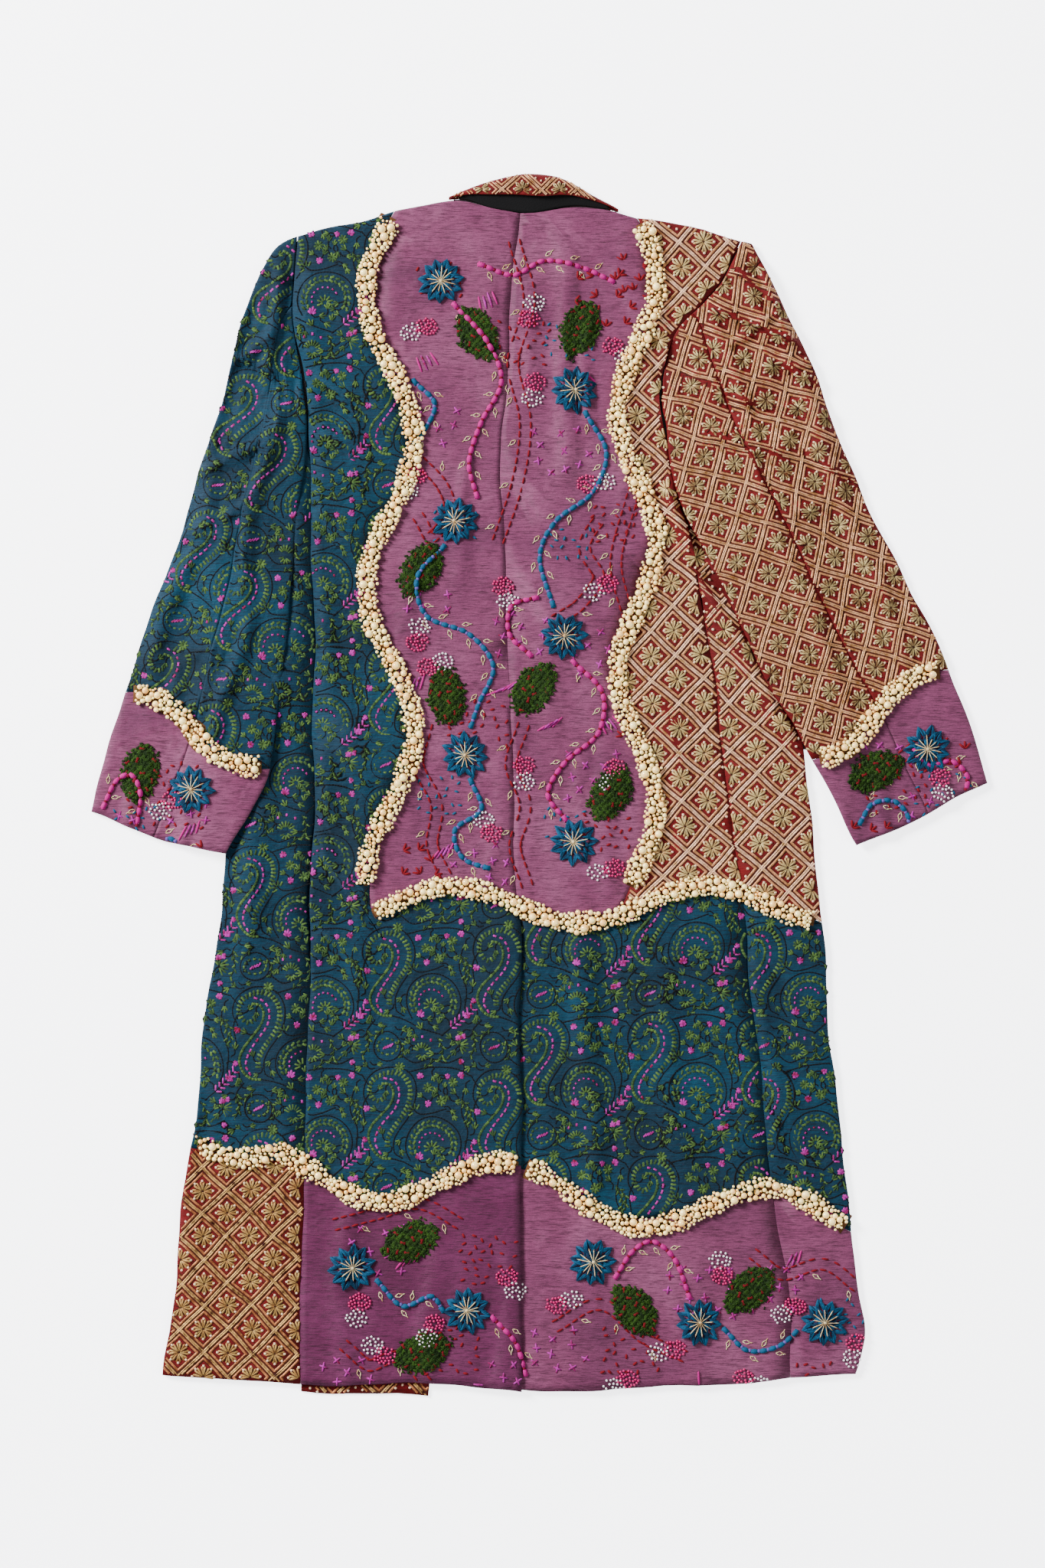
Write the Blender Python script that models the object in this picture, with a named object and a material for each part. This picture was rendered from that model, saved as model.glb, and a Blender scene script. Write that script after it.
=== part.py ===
"""A long embroidered coat, laid flat with its back up, built as the pieces that a maker cuts and sews.

Plan sizes are in millimetres, from the middle of the coat's outline: +X to the right, +Y from the hem
to the collar and +Z up off the surface it lies on. Every cloth piece is a wall of its own, and a piece
that turns round a side edge is one wall folded over, with its two legs flat on each other as they lie.
"""

import math

import bmesh
import bpy
from mathutils import Vector
from mathutils.bvhtree import BVHTree

MM = 0.001

# Cloth and its layers
WALL = 2.2  # outer cloth, interlining and stitching together
SEAM_GAP = 0.3  # between two pieces at a seam
ARMHOLE_GAP = 0.9
BODY_HEIGHT = 6.4  # top of the back over the surface, where it lies flat on the fronts
SLEEVE_EDGE = 6.6  # height of a sleeve at its folded edges
SLEEVE_DOME = 1.4  # and how much more in its middle
SLEEVE_HEAD = 1.6  # extra fullness just past the armhole
OVER_BODY = BODY_HEIGHT + 0.7  # underside of a sleeve where it lies on the body
LEAVES_SIDE = (62.0, 40.0)  # it is down on the surface this far outside the body's side and
LEAVES_UNDERARM = (52.0, 16.0)  # underarm, after a slope of this length
LIFTED_BY = 20.0  # it is down on the surface at the armhole, and lifted this far along it
SHOULDER_ROLL = 4.0  # radius of the turn at the shoulder seam
FRONT_INSET = 5.0  # the fronts stop this far inside the shoulder edge
FRONT_GAP = 0.6  # and this far from the side panels and from each other
VENT_LIFT = WALL + 0.6  # the left back lies on the right back below the vent's top
VENT_LAP = 24.0
VENT_START, VENT_RUN = 32.0, 46.0  # the vent opens to its full lap over this length

VENT_RISE = 20.0  # the left back climbs onto the right one over this much of its length
VENT_REACH, VENT_SLOPE = 85.0, 55.0  # and this far from the vent, over this slope
NECK_EASE = 12.0  # the turn at the shoulder dies out over this length at the neck
SHOULDER_LIPS = (0.004, 0.015)  # extra rows there, as shares of the way to the underarm

# Grid of the cloth, in cells
ROWS = (11, 13, 9, 6)  # down the back: to the underarm, the waist line, the hem line and the hem
COLUMNS = (4, 5, 5, 2)  # across the back, between its seams and patches
FRONT_ROWS = 24  # below the underarm
SLEEVE_ROWS, CUFF_ROWS = 15, 4
ROW_CROWDING = 1.4  # the sleeve's rows lie closer near the armhole
SLEEVE_COLUMNS = 7
SIDE_TOP, SIDE_UNDER = 3, 2  # cells across a side panel, on top and underneath
FOLD_STEPS = 3  # facets round a folded edge
MEETING_STEPS, MEETING_PACE = 60, 0.7  # how the place where two lines meet is closed in on

# Seams and edges that run down the coat: (y, x)
SIDE_LEFT = [(331, -274), (248, -289), (134, -299), (20, -305), (-79, -311), (-170, -324),
             (-307, -340), (-421, -355), (-588, -373)]
SIDE_RIGHT = [(324, 226), (248, 239), (134, 252), (20, 263), (-56, 273), (-216, 286),
              (-353, 299), (-489, 316), (-546, 322), (-585, 312)]
ARMHOLE_LEFT = [(546, -242), (499, -244), (453, -242), (407, -233), (369, -230)]
PRINCESS_LEFT = ARMHOLE_LEFT + [(248, -226), (141, -224), (45, -224), (-132, -227), (-318, -232),
                                (-593, -239)]
ARMHOLE_RIGHT = [(540, 201), (507, 186), (478, 163), (453, 137), (423, 127), (377, 119), (347, 124)]
PRINCESS_RIGHT = ARMHOLE_RIGHT + [(293, 136), (227, 154), (89, 174), (-71, 195), (-231, 213),
                                  (-382, 228), (-517, 247), (-591, 250)]
CENTRE_BACK = [(568, -21), (302, -38), (174, -33), (46, -28), (-85, -24), (-172, -19), (-601, -18)]
FRONT_EDGE_LEFT = [(571, -88), (480, -60), (380, -35), (300, -26), (100, -30), (-150, -60),
                   (-350, -86), (-606, -110)]
FRONT_EDGE_RIGHT = [(563, 76), (470, 45), (380, 8), (300, -15), (100, -20), (-150, -40),
                    (-350, -52), (-596, -60)]

# Edges that run across it: (x, y)
NECK = (-90, 77)  # ends of the neck edge; the shoulders lie outside them
BACK_TOP = [(-242, 546), (-227, 552), (-202, 557), (-172, 562), (-142, 571), (-93, 578), (-77, 579),
            (-42, 570), (-11, 567), (20, 572), (39, 575), (62, 573), (81, 568), (121, 560),
            (170, 549), (201, 540)]
UNDERARM = [(-274, 331), (-255, 338), (-240, 352), (-230, 369), (124, 347), (150, 338), (190, 328),
            (226, 324)]
BACK_HEM = [(-373, -586), (-308, -591), (-239, -593), (-110, -594), (-49, -597), (-18, -601),
            (72, -598), (163, -597), (255, -586), (312, -583)]
FRONT_HEM_LEFT = [(-240, -600), (-187, -603), (-110, -606.5)]
FRONT_HEM_RIGHT = [(-60, -597), (163, -594), (250, -584)]

# Where the cloths change, as plain waves: mean, slope, height of the wave, its pitch and its start
WAVES = {
    "left": (-148.0, 0.0, 24.0, 290.0, 560.0),
    "right": (96.0, 0.0, 20.0, 260.0, 435.0),
    "waist": (-118.0, 0.0, 18.0, 250.0, -148.0),
    "hem": (-402.0, -0.10, 26.0, 262.0, -360.0),
}

# Sleeves, as the four edges of each on plan: (x, y) from armhole to cuff, or from inner to outer edge
SLEEVES = {
    "left": {
        "inner": [(-235, 402), (-234.5, 386), (-231.5, 368), (-230, 352), (-233, 309), (-241, 255),
                  (-248, 172), (-258, 81), (-268, 12), (-281, -18), (-309, -68)],
        "outer": [(-242, 546), (-263, 536), (-272, 524), (-279, 506), (-294, 468), (-306, 423),
                  (-316, 377), (-331, 331), (-353, 263), (-377, 195), (-400, 126), (-422, 58),
                  (-446, -27)],
        "armhole": [(-235, 402), (-242, 453), (-244, 499), (-242, 546)],
        "cuff": [(-309, -68), (-353, -58), (-384, -49), (-414, -39), (-446, -27)],
        "cloth": "paisley",
    },
    "right": {
        "inner": [(120.5, 377), (124, 362), (125.5, 347), (125, 331), (131, 303), (142, 271),
                  (173, 214), (190, 181), (210, 134), (226, 100), (243, 71), (257, 49), (274, 14),
                  (315, -59)],
        "outer": [(201, 540), (213, 537), (223, 514), (235, 491), (248, 468), (255, 445), (267, 423),
                  (283, 377), (302, 331), (334, 263), (367, 195), (400, 126), (429, 58), (446, 3)],
        "armhole": [(120.5, 377), (127, 423), (137, 453), (163, 478), (186, 507), (201, 540)],
        "cuff": [(315, -59), (342, -48), (369, -35), (407, -14), (446, 3)],
        "cloth": "lattice",
    },
}
SLEEVE_LENGTH = 600.0
SLEEVE_RISE = 0.09  # a sleeve is at its full height this far along it
SLEEVE_HEAD_AT, SLEEVE_HEAD_SPREAD = 0.12, 0.07  # where its head is fullest, and over how much
DOME_REACH = 0.42  # share of its width over which the dome climbs
SLEEVE_UNDER = 4  # cells across its underside
SLEEVE_SEAM = 0.52  # where the two halves of a sleeve meet, as a share of its width
CUFF_START = (0.80, 0.022)  # share of the sleeve's length, and the height of the wave round it

# The largest folds: start, end, half width and height (a hollow is negative)
FOLD_FADE = 0.35  # share of its length over which a fold dies out at each end
FOLD_REACH, FOLD_SLOPE = 10.0, 35.0  # folds of the back end this far past its side seams
BODY_FOLDS = [
    ((2, 540), (-14, 330), 13, 2.6),
    ((30, 520), (24, 350), 12, -1.4),
    ((58, 470), (66, 300), 14, 1.9),
    ((-72, 330), (-140, 180), 16, 1.7),
    ((-60, 60), (-110, -90), 18, -1.4),
    ((96, 40), (40, -110), 18, 1.8),
    ((-130, -190), (-150, -380), 20, 1.6),
    ((80, -200), (96, -370), 20, -1.3),
    ((-140, -440), (-150, -590), 18, 1.6),
    ((120, -450), (140, -590), 18, 1.8),
]
# Where folds show on a sleeve: above this share of its edge height, past its edges and its ends
SLEEVE_FOLD_HEIGHT, SLEEVE_FOLD_RISE = 0.7, 2.0
SLEEVE_FOLD_EDGE, SLEEVE_FOLD_SLOPE = 6.0, 18.0
SLEEVE_FOLD_START, SLEEVE_FOLD_RUN, SLEEVE_FOLD_END = 0.01, 0.06, 0.05
SLEEVE_FOLDS = {
    "left": [
        ((-262, 500), (-292, 400), 10, 1.6),
        ((-262, 420), (-300, 330), 11, -1.5),
        ((-290, 280), (-350, 210), 12, 1.7),
        ((-300, 190), (-372, 130), 12, -1.2),
        ((-322, 90), (-392, 50), 12, 1.4),
    ],
    "right": [
        ((196, 494), (242, 430), 9, 2.4),
        ((176, 452), (238, 450), 8, -1.8),
        ((150, 420), (250, 385), 10, 2.2),
        ((146, 372), (262, 330), 11, -1.6),
        ((186, 290), (300, 262), 12, 1.8),
        ((230, 200), (340, 176), 12, -1.3),
        ((272, 110), (372, 96), 12, 1.5),
    ],
}

# Collar, across the back of the neck: (x, y)
COLLAR_ROLL = [(-90, 582), (-58, 595), (-36, 602), (-14, 606), (12, 606.5), (29, 600), (53, 586),
               (77, 573)]
COLLAR_EDGE = [(-90, 579.5), (-69, 584), (-26, 584.5), (0, 584), (20, 585), (42, 583), (61, 578),
               (77, 570.5)]
COLLAR_WALL = 1.8
COLLAR_ENDS, COLLAR_RISE = 9.0, 5.5  # height of the roll at its ends, and how much more between
COLLAR_COLUMNS = 14
COLLAR_DROP = 0.5  # the fall sinks this much from its turn to its edge
COLLAR_TURN = 0.7  # the most of the fall's depth that its turn takes
COLLAR_TUCK = 1.0  # the inner cloth stops this far above the neck edge
STAND_ENDS = (-80, 68)  # the black stand, between the neck edge and the fall
STAND_GAP = 0.7
STAND_CLEAR = 0.4  # between the stand and the fall
STAND_ROWS = 3

# Trimming that lies on the cloth
TRIM_GAP = 0.35
CLEAR_REACH = 9.0  # trimming clears the cloth this far round each of its points
PEARL_WIDTH, PEARL_HEIGHT, PEARL_STEP = 25.0, 7.5, 17.0
PEARL_SECTION = ((-1, 0.0), (0, 0.0), (1, 0.0), (0.92, 0.6), (0, 1.0), (-0.92, 0.6))
LUMPS = ((0.12, 2.1), (0.14, 3.7))  # the band's width and height vary by this share, at this pace
LENGTH_STEPS, NEARBY = 60, 0.004  # how finely a line is measured, and the shares its way is read from
BAND_TOP = 8.0  # the two long bands start this far below the shoulder seam
# How far a band of pearls starts and stops short of its line's ends
BAND_ENDS = {
    "left": (0.0, 28.0), "right": (0.0, 30.0), "waist": (0.0, 8.0), "hem_left": (8.0, 3.0),
    "hem_right": (6.0, 8.0), "cuff_left": (9.0, 9.0), "cuff_right": (9.0, 9.0),
}
MOUND_RIM, MOUND_SHOULDER = 0.4, 0.5  # height at a patch's rim, and where it is at its full height
FLOWER_RADIUS, FLOWER_HEIGHT, FLOWER_PETALS, FLOWER_NOTCH = 24.0, 5.0, 8, 0.74
LEAF_LENGTH, LEAF_WIDTH, LEAF_HEIGHT = 58.0, 33.0, 3.6
LEAF_STEPS, LEAF_FULLNESS = 5, 0.6
# (x, y, turn in degrees)
FLOWERS = [
    (-98, 500, 0), (-84, 262, 20), (-74, 30, 8),
    (34, 392, 15), (24, 148, 0), (34, -56, 25),
    (-186, -478, 10), (-72, -520, 0), (52, -472, 18), (158, -532, 5), (282, -532, 30),
    (-345, -4, 12), (384, 36, 0),
]
# (x, y, direction it points in degrees)
LEAVES = [
    (-62, 448, 300), (-118, 214, 240), (-92, 88, 100), (40, 452, 70), (-6, 96, 235), (70, -8, 60),
    (-128, -452, 25), (-116, -562, 200), (94, -520, 310), (208, -500, 40), (-396, 12, 80),
    (333, 14, 205),
]

CLOTHS = {  # colour, roughness and metallic value
    "paisley": ((0.010, 0.100, 0.160, 1), 0.85, 0.0),
    "silk": ((0.230, 0.040, 0.150, 1), 0.60, 0.0),
    "lattice": ((0.380, 0.200, 0.090, 1), 0.55, 0.2),
    "velvet": ((0.006, 0.006, 0.008, 1), 0.95, 0.0),
    "pearl": ((0.800, 0.680, 0.450, 1), 0.30, 0.0),
    "flower": ((0.012, 0.120, 0.200, 1), 0.80, 0.0),
    "leaf": ((0.030, 0.090, 0.010, 1), 0.90, 0.0),
}


def clear_scene():
    for obj in list(bpy.data.objects):
        bpy.data.objects.remove(obj)


def material(name):
    found = bpy.data.materials.get(name)
    if found:
        return found
    colour, roughness, metallic = CLOTHS[name]
    made = bpy.data.materials.new(name)
    made.use_nodes = True
    made.diffuse_color = colour
    shader = made.node_tree.nodes["Principled BSDF"]
    shader.inputs["Base Color"].default_value = colour
    shader.inputs["Roughness"].default_value = roughness
    shader.inputs["Metallic"].default_value = metallic
    return made


def ease(value):
    """0 up to 0, 1 from 1, and a smooth rise between."""
    value = min(1.0, max(0.0, value))
    return value * value * (3 - 2 * value)


def mix(a, b, share):
    return a + (b - a) * share


def through(table):
    """A smooth function through (position, value) pairs that never overshoots them."""
    rows = sorted(table)
    at = [row[0] for row in rows]
    value = [row[1] for row in rows]
    last = len(rows) - 1
    slope = [(value[i + 1] - value[i]) / (at[i + 1] - at[i]) for i in range(last)]
    tangent = [slope[0]] + [0.0] * (last - 1) + [slope[-1]]
    for i in range(1, last):
        if slope[i - 1] * slope[i] > 0:
            tangent[i] = 2 * slope[i - 1] * slope[i] / (slope[i - 1] + slope[i])

    def find(position):
        if position <= at[0]:
            return value[0]
        if position >= at[-1]:
            return value[-1]
        i = max(k for k in range(last) if at[k] <= position)
        span = at[i + 1] - at[i]
        t = (position - at[i]) / span
        return (value[i] * (1 + 2 * t) * (1 - t) ** 2 + tangent[i] * span * t * (1 - t) ** 2
                + value[i + 1] * t * t * (3 - 2 * t) + tangent[i + 1] * span * t * t * (t - 1))

    return find


def along(points):
    """A smooth plan curve through points, read by its share of length from 0 to 1."""
    lengths = [0.0]
    for a, b in zip(points, points[1:]):
        lengths.append(lengths[-1] + math.dist(a, b))
    x = through([(d, p[0]) for d, p in zip(lengths, points)])
    y = through([(d, p[1]) for d, p in zip(lengths, points)])
    return lambda share: (x(share * lengths[-1]), y(share * lengths[-1]))


def wave(name):
    mean, slope, height, pitch, start = WAVES[name]
    return lambda at: mean + slope * at + height * math.sin(2 * math.pi * (at - start) / pitch)


side_left, side_right = through(SIDE_LEFT), through(SIDE_RIGHT)
princess_left, princess_right = through(PRINCESS_LEFT), through(PRINCESS_RIGHT)
centre_back, back_top, back_hem = through(CENTRE_BACK), through(BACK_TOP), through(BACK_HEM)
underarm, waist, hem_line = through(UNDERARM), wave("waist"), wave("hem")
patch_left, patch_right = wave("left"), wave("right")
LINES_ACROSS = (back_top, underarm, waist, hem_line, back_hem)
LINES_DOWN = (princess_left, patch_left, centre_back, patch_right, princess_right)


def between(lines, place, at):
    """Reads a family of lines at a place such as 1.25: a quarter of the way from line 1 to line 2."""
    index = min(int(place), len(lines) - 2)
    return mix(lines[index](at), lines[index + 1](at), place - index)


def meet(down, across):
    """The plan point where a line x(y) down the coat meets a line y(x) across it."""
    x = y = 0.0
    for _ in range(MEETING_STEPS):
        x = mix(x, down(y), MEETING_PACE)
        y = mix(y, across(x), MEETING_PACE)
    return x, y


def places(first, last, counts, extra=()):
    """Grid places from line first to line last, with each band cut into its own number of cells."""
    found = {float(first)} | set(extra)
    for band in range(first, last):
        found |= {band + k / counts[band] for k in range(1, counts[band] + 1)}
    return sorted(found)


def fold_height(folds, x, y):
    """Height of the soft ridges and hollows at a point, each fading out at its two ends."""
    total = 0.0
    for (x0, y0), (x1, y1), half_width, height in folds:
        dx, dy = x1 - x0, y1 - y0
        length = math.hypot(dx, dy)
        run = ((x - x0) * dx + (y - y0) * dy) / length
        off = ((x - x0) * dy - (y - y0) * dx) / length
        fade = ease(run / (FOLD_FADE * length)) * ease((length - run) / (FOLD_FADE * length))
        total += height * fade * math.exp(-(off / half_width) ** 2)
    return total


def back_height(x, y):
    """Top of the back over the surface, turned down at the shoulder seams."""
    inside = min(x - princess_left(y), princess_right(y) - x)
    calm = ease((inside + FOLD_REACH) / FOLD_SLOPE)
    height = BODY_HEIGHT + fold_height(BODY_FOLDS, x, y) * calm
    depth = back_top(x) - y
    if depth < SHOULDER_ROLL:
        turn = SHOULDER_ROLL - math.sqrt(SHOULDER_ROLL ** 2 - (SHOULDER_ROLL - max(0.0, depth)) ** 2)
        height -= turn * ease(max(NECK[0] - x, x - NECK[1]) / NECK_EASE)
    return height


def lapped_height(x, y):
    """Top of the left back, which rises onto the right back beside the vent."""
    below = waist(centre_back(y)) - y
    beside = centre_back(y) - x
    lift = ease(below / VENT_RISE) * ease((VENT_REACH - beside) / VENT_SLOPE)
    return back_height(x, y) + VENT_LIFT * lift


def lap_edge(y):
    """Edge of the right back, which reaches under the left one below the vent's top."""
    opened = ease((waist(centre_back(y)) - y - VENT_START) / VENT_RUN)
    return centre_back(y) - VENT_LAP * opened


def solid(name, cloth, points, faces):
    mesh = bpy.data.meshes.new(name)
    mesh.from_pydata([Vector(p) * MM for p in points], [], faces)
    work = bmesh.new()
    work.from_mesh(mesh)
    bmesh.ops.recalc_face_normals(work, faces=work.faces)
    work.to_mesh(mesh)
    work.free()
    mesh.shade_smooth()
    mesh.set_sharp_from_angle(angle=math.radians(50))
    mesh.materials.append(material(cloth))
    obj = bpy.data.objects.new(name, mesh)
    bpy.context.scene.collection.objects.link(obj)
    return obj


def wall(name, cloth, outer, inner):
    """A closed wall between two grids of points, outer and inner."""
    rows, columns = len(outer), len(outer[0])

    def at(layer, i, j):
        return (layer * rows + i) * columns + j

    faces = []
    for i in range(rows - 1):
        for j in range(columns - 1):
            for layer in (0, 1):
                faces.append([at(layer, i, j), at(layer, i, j + 1), at(layer, i + 1, j + 1),
                              at(layer, i + 1, j)])
    for i in (0, rows - 1):
        for j in range(columns - 1):
            faces.append([at(0, i, j), at(0, i, j + 1), at(1, i, j + 1), at(1, i, j)])
    for j in (0, columns - 1):
        for i in range(rows - 1):
            faces.append([at(0, i, j), at(0, i + 1, j), at(1, i + 1, j), at(1, i, j)])
    return solid(name, cloth, [p for grid in (outer, inner) for row in grid for p in row], faces)


def lowered(grid, depth):
    return [[(x, y, z - depth) for x, y, z in row] for row in grid]


def parted(grid, left=SEAM_GAP / 2, right=SEAM_GAP / 2):
    """Draws a grid's four edges in by half a seam's gap."""
    half = SEAM_GAP / 2
    for row in grid:
        row[0] = (row[0][0] + left, *row[0][1:])
        row[-1] = (row[-1][0] - right, *row[-1][1:])
    grid[0] = [(x, y - half, z) for x, y, z in grid[0]]
    grid[-1] = [(x, y + half, z) for x, y, z in grid[-1]]
    return grid


def back_panel(name, cloth, down, across, height, left_edge=None):
    """A piece of the back between two of the lines down it and two of the lines across it."""
    lips = SHOULDER_LIPS if across[0] == 0 else ()
    grid = []
    for r in places(*across, ROWS, lips):
        row = []
        for c in places(*down, COLUMNS):
            line = left_edge if left_edge and c == down[0] else lambda y: between(LINES_DOWN, c, y)
            x, y = meet(line, lambda at: between(LINES_ACROSS, r, at))
            row.append((x, y, height(x, y)))
        grid.append(row)
    parted(grid)
    return wall(name, cloth, grid, lowered(grid, WALL))


def build_back():
    back_panel("back_left_outer", "paisley", (0, 1), (0, 3), back_height)
    back_panel("back_left", "silk", (1, 2), (0, 2), back_height)
    back_panel("back_right", "silk", (2, 3), (0, 2), back_height)
    back_panel("back_right_outer", "lattice", (3, 4), (0, 2), back_height)
    back_panel("skirt_left", "paisley", (1, 2), (2, 3), lapped_height)
    back_panel("skirt_right", "paisley", (2, 4), (2, 3), back_height, lap_edge)
    back_panel("hem_left", "silk", (0, 2), (3, 4), lapped_height)
    back_panel("hem_right", "silk", (2, 4), (3, 4), back_height, lap_edge)


def folded_section(height_at, edge_height, width, top_steps, bottom_steps):
    """A section across a piece folded at its edge, as (outer distance in from the edge, outer z,
    inner distance, inner z). It runs on top from the seam to the edge, round it, and back underneath."""
    radius = edge_height / 2
    inside = radius - WALL
    section = []
    for k in range(top_steps):
        d = mix(width, radius, k / top_steps)
        section.append((d, height_at(d), d, height_at(d) - WALL))
    for k in range(FOLD_STEPS + 1):
        turn = math.pi * (0.5 - k / FOLD_STEPS)
        section.append((radius - radius * math.cos(turn), radius + radius * math.sin(turn),
                        radius - inside * math.cos(turn), radius + inside * math.sin(turn)))
    for k in range(1, bottom_steps + 1):
        d = mix(radius, width, k / bottom_steps)
        section.append((d, 0.0, d, WALL))
    return section


def side_panel(name, cloth, side, seam, across):
    """A side panel, folded round the side edge of the coat."""
    outer, inner = [], []
    for r in places(*across, ROWS):
        edge = meet(side, lambda at: between(LINES_ACROSS, r, at))
        join = meet(seam, lambda at: between(LINES_ACROSS, r, at))
        width = abs(join[0] - edge[0]) - SEAM_GAP / 2
        toward = math.copysign(1, join[0] - edge[0])
        lines = ([], [])
        section = folded_section(lambda d: BODY_HEIGHT, BODY_HEIGHT, width, SIDE_TOP, SIDE_UNDER)
        for d_out, z_out, d_in, z_in in section:
            for line, d, z in ((lines[0], d_out, z_out), (lines[1], d_in, z_in)):
                line.append((edge[0] + toward * d, mix(edge[1], join[1], d / width), z))
        outer.append(lines[0])
        inner.append(lines[1])
    parted(outer, 0, 0)
    parted(inner, 0, 0)
    return wall(name, cloth, outer, inner)


def build_sides():
    side_panel("side_left", "paisley", side_left, princess_left, (1, 3))
    side_panel("side_left_hem", "lattice", side_left, princess_left, (3, 4))
    side_panel("side_right", "lattice", side_right, princess_right, (1, 2))
    side_panel("side_right_skirt", "paisley", side_right, princess_right, (2, 3))
    side_panel("side_right_hem", "silk", side_right, princess_right, (3, 4))


def build_fronts():
    """The two fronts, flat on the surface, with a plain V at the neck."""
    for name, cloth, edges, hem in (
        ("front_left", "lattice", (princess_left, through(FRONT_EDGE_LEFT)), through(FRONT_HEM_LEFT)),
        ("front_right", "paisley", (through(FRONT_EDGE_RIGHT), princess_right), through(FRONT_HEM_RIGHT)),
    ):
        bands = (lambda x: back_top(x) - FRONT_INSET, underarm, hem)
        grid = []
        for r in places(0, 2, (ROWS[0], FRONT_ROWS)):
            row = [meet(lambda y: mix(edges[0](y), edges[1](y), j / 2), lambda x: between(bands, r, x))
                   for j in range(3)]
            grid.append([(x, y, WALL) for x, y in row])
        parted(grid, FRONT_GAP, FRONT_GAP)
        wall(name, cloth, grid, lowered(grid, WALL))


def sleeve_plan(side):
    """The plan point at shares s down a sleeve and w across it, between its four edges."""
    edges = SLEEVES[side]
    inner, outer = along(edges["inner"]), along(edges["outer"])
    armhole, cuff = along(edges["armhole"]), along(edges["cuff"])
    corners = [inner(0), outer(0), inner(1), outer(1)]

    def find(s, w):
        found = []
        for axis in (0, 1):
            ruled = mix(inner(s)[axis], outer(s)[axis], w) + mix(armhole(w)[axis], cuff(w)[axis], s)
            top = mix(corners[0][axis], corners[1][axis], w)
            bottom = mix(corners[2][axis], corners[3][axis], w)
            found.append(ruled - mix(top, bottom, s))
        return found

    return find


def sleeve_base(side, x, y, run):
    """How far a sleeve is lifted: by the body where it lies over it, and else not at all."""
    beside = side_left(y) - x if side == "left" else x - side_right(y)
    past_side, slope = LEAVES_SIDE
    past_underarm, steep = LEAVES_UNDERARM
    return OVER_BODY * min(ease((past_side - beside) / slope), ease(run / LIFTED_BY),
                           ease((past_underarm - y + underarm(x)) / steep))


def cuff_line(w):
    start, height = CUFF_START
    return start + height * math.sin(2 * math.pi * w)


def sleeve_half(name, cloth, side, half, start, end, rows, crowding):
    """Half of a sleeve, folded at its inner or outer edge, between two lines round the sleeve."""
    plan = sleeve_plan(side)
    seam = SLEEVE_SEAM if half == "inner" else 1 - SLEEVE_SEAM
    outer, inner = [], []
    for i in range(rows + 1):
        share = (i / rows) ** crowding
        middle = mix(start(0.5), end(0.5), share)
        full = math.dist(plan(middle, 0), plan(middle, 1))
        rise = ease(middle / SLEEVE_RISE)
        edge_height = mix(BODY_HEIGHT, SLEEVE_EDGE, rise)
        head = math.exp(-((middle - SLEEVE_HEAD_AT) / SLEEVE_HEAD_SPREAD) ** 2)
        dome = rise * (SLEEVE_DOME + SLEEVE_HEAD * head)

        def height_at(d):
            across = min(1.0, max(0.0, (d - edge_height / 2) / (DOME_REACH * full)))
            return edge_height + dome * math.sin(math.pi / 2 * across)

        lines = ([], [])
        width = seam * full - SEAM_GAP / 2
        section = folded_section(height_at, edge_height, width, SLEEVE_COLUMNS, SLEEVE_UNDER)
        for d_out, z_out, d_in, z_in in section:
            on_top = (ease((z_out - edge_height * SLEEVE_FOLD_HEIGHT) / SLEEVE_FOLD_RISE)
                      * ease((d_out - SLEEVE_FOLD_EDGE) / SLEEVE_FOLD_SLOPE))
            for line, d, z in ((lines[0], d_out, z_out), (lines[1], d_in, z_in)):
                w = d / full if half == "inner" else 1 - d / full
                s = mix(start(w), end(w), share)
                x, y = plan(s, w)
                inside = (ease((s - SLEEVE_FOLD_START) / SLEEVE_FOLD_RUN)
                          * ease((1 - s) / SLEEVE_FOLD_END))
                z += sleeve_base(side, x, y, s * SLEEVE_LENGTH)
                z += on_top * inside * fold_height(SLEEVE_FOLDS[side], x, y)
                line.append((x, y, z))
        outer.append(lines[0])
        inner.append(lines[1])
    return wall(name, cloth, outer, inner)


def build_sleeves():
    armhole = ARMHOLE_GAP / SLEEVE_LENGTH
    half_gap = SEAM_GAP / 2 / SLEEVE_LENGTH
    for side, facts in SLEEVES.items():
        for half in ("inner", "outer"):
            sleeve_half(f"sleeve_{side}_{half}", facts["cloth"], side, half,
                        lambda w: armhole, lambda w: cuff_line(w) - half_gap, SLEEVE_ROWS, ROW_CROWDING)
            sleeve_half(f"cuff_{side}_{half}", "silk", side, half,
                        lambda w: cuff_line(w) + half_gap, lambda w: 1.0, CUFF_ROWS, 1.0)


def collar_shape(x):
    """Height of the collar's roll, and the plan y of its lower edge, of its turn and of its roll."""
    swell = math.sin(math.pi * (x - COLLAR_ROLL[0][0]) / (COLLAR_ROLL[-1][0] - COLLAR_ROLL[0][0]))
    height = COLLAR_ENDS + COLLAR_RISE * swell
    lip, ridge = through(COLLAR_EDGE)(x), through(COLLAR_ROLL)(x)
    return height, lip, ridge - min(height / 2, COLLAR_TURN * (ridge - lip)), ridge


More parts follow.
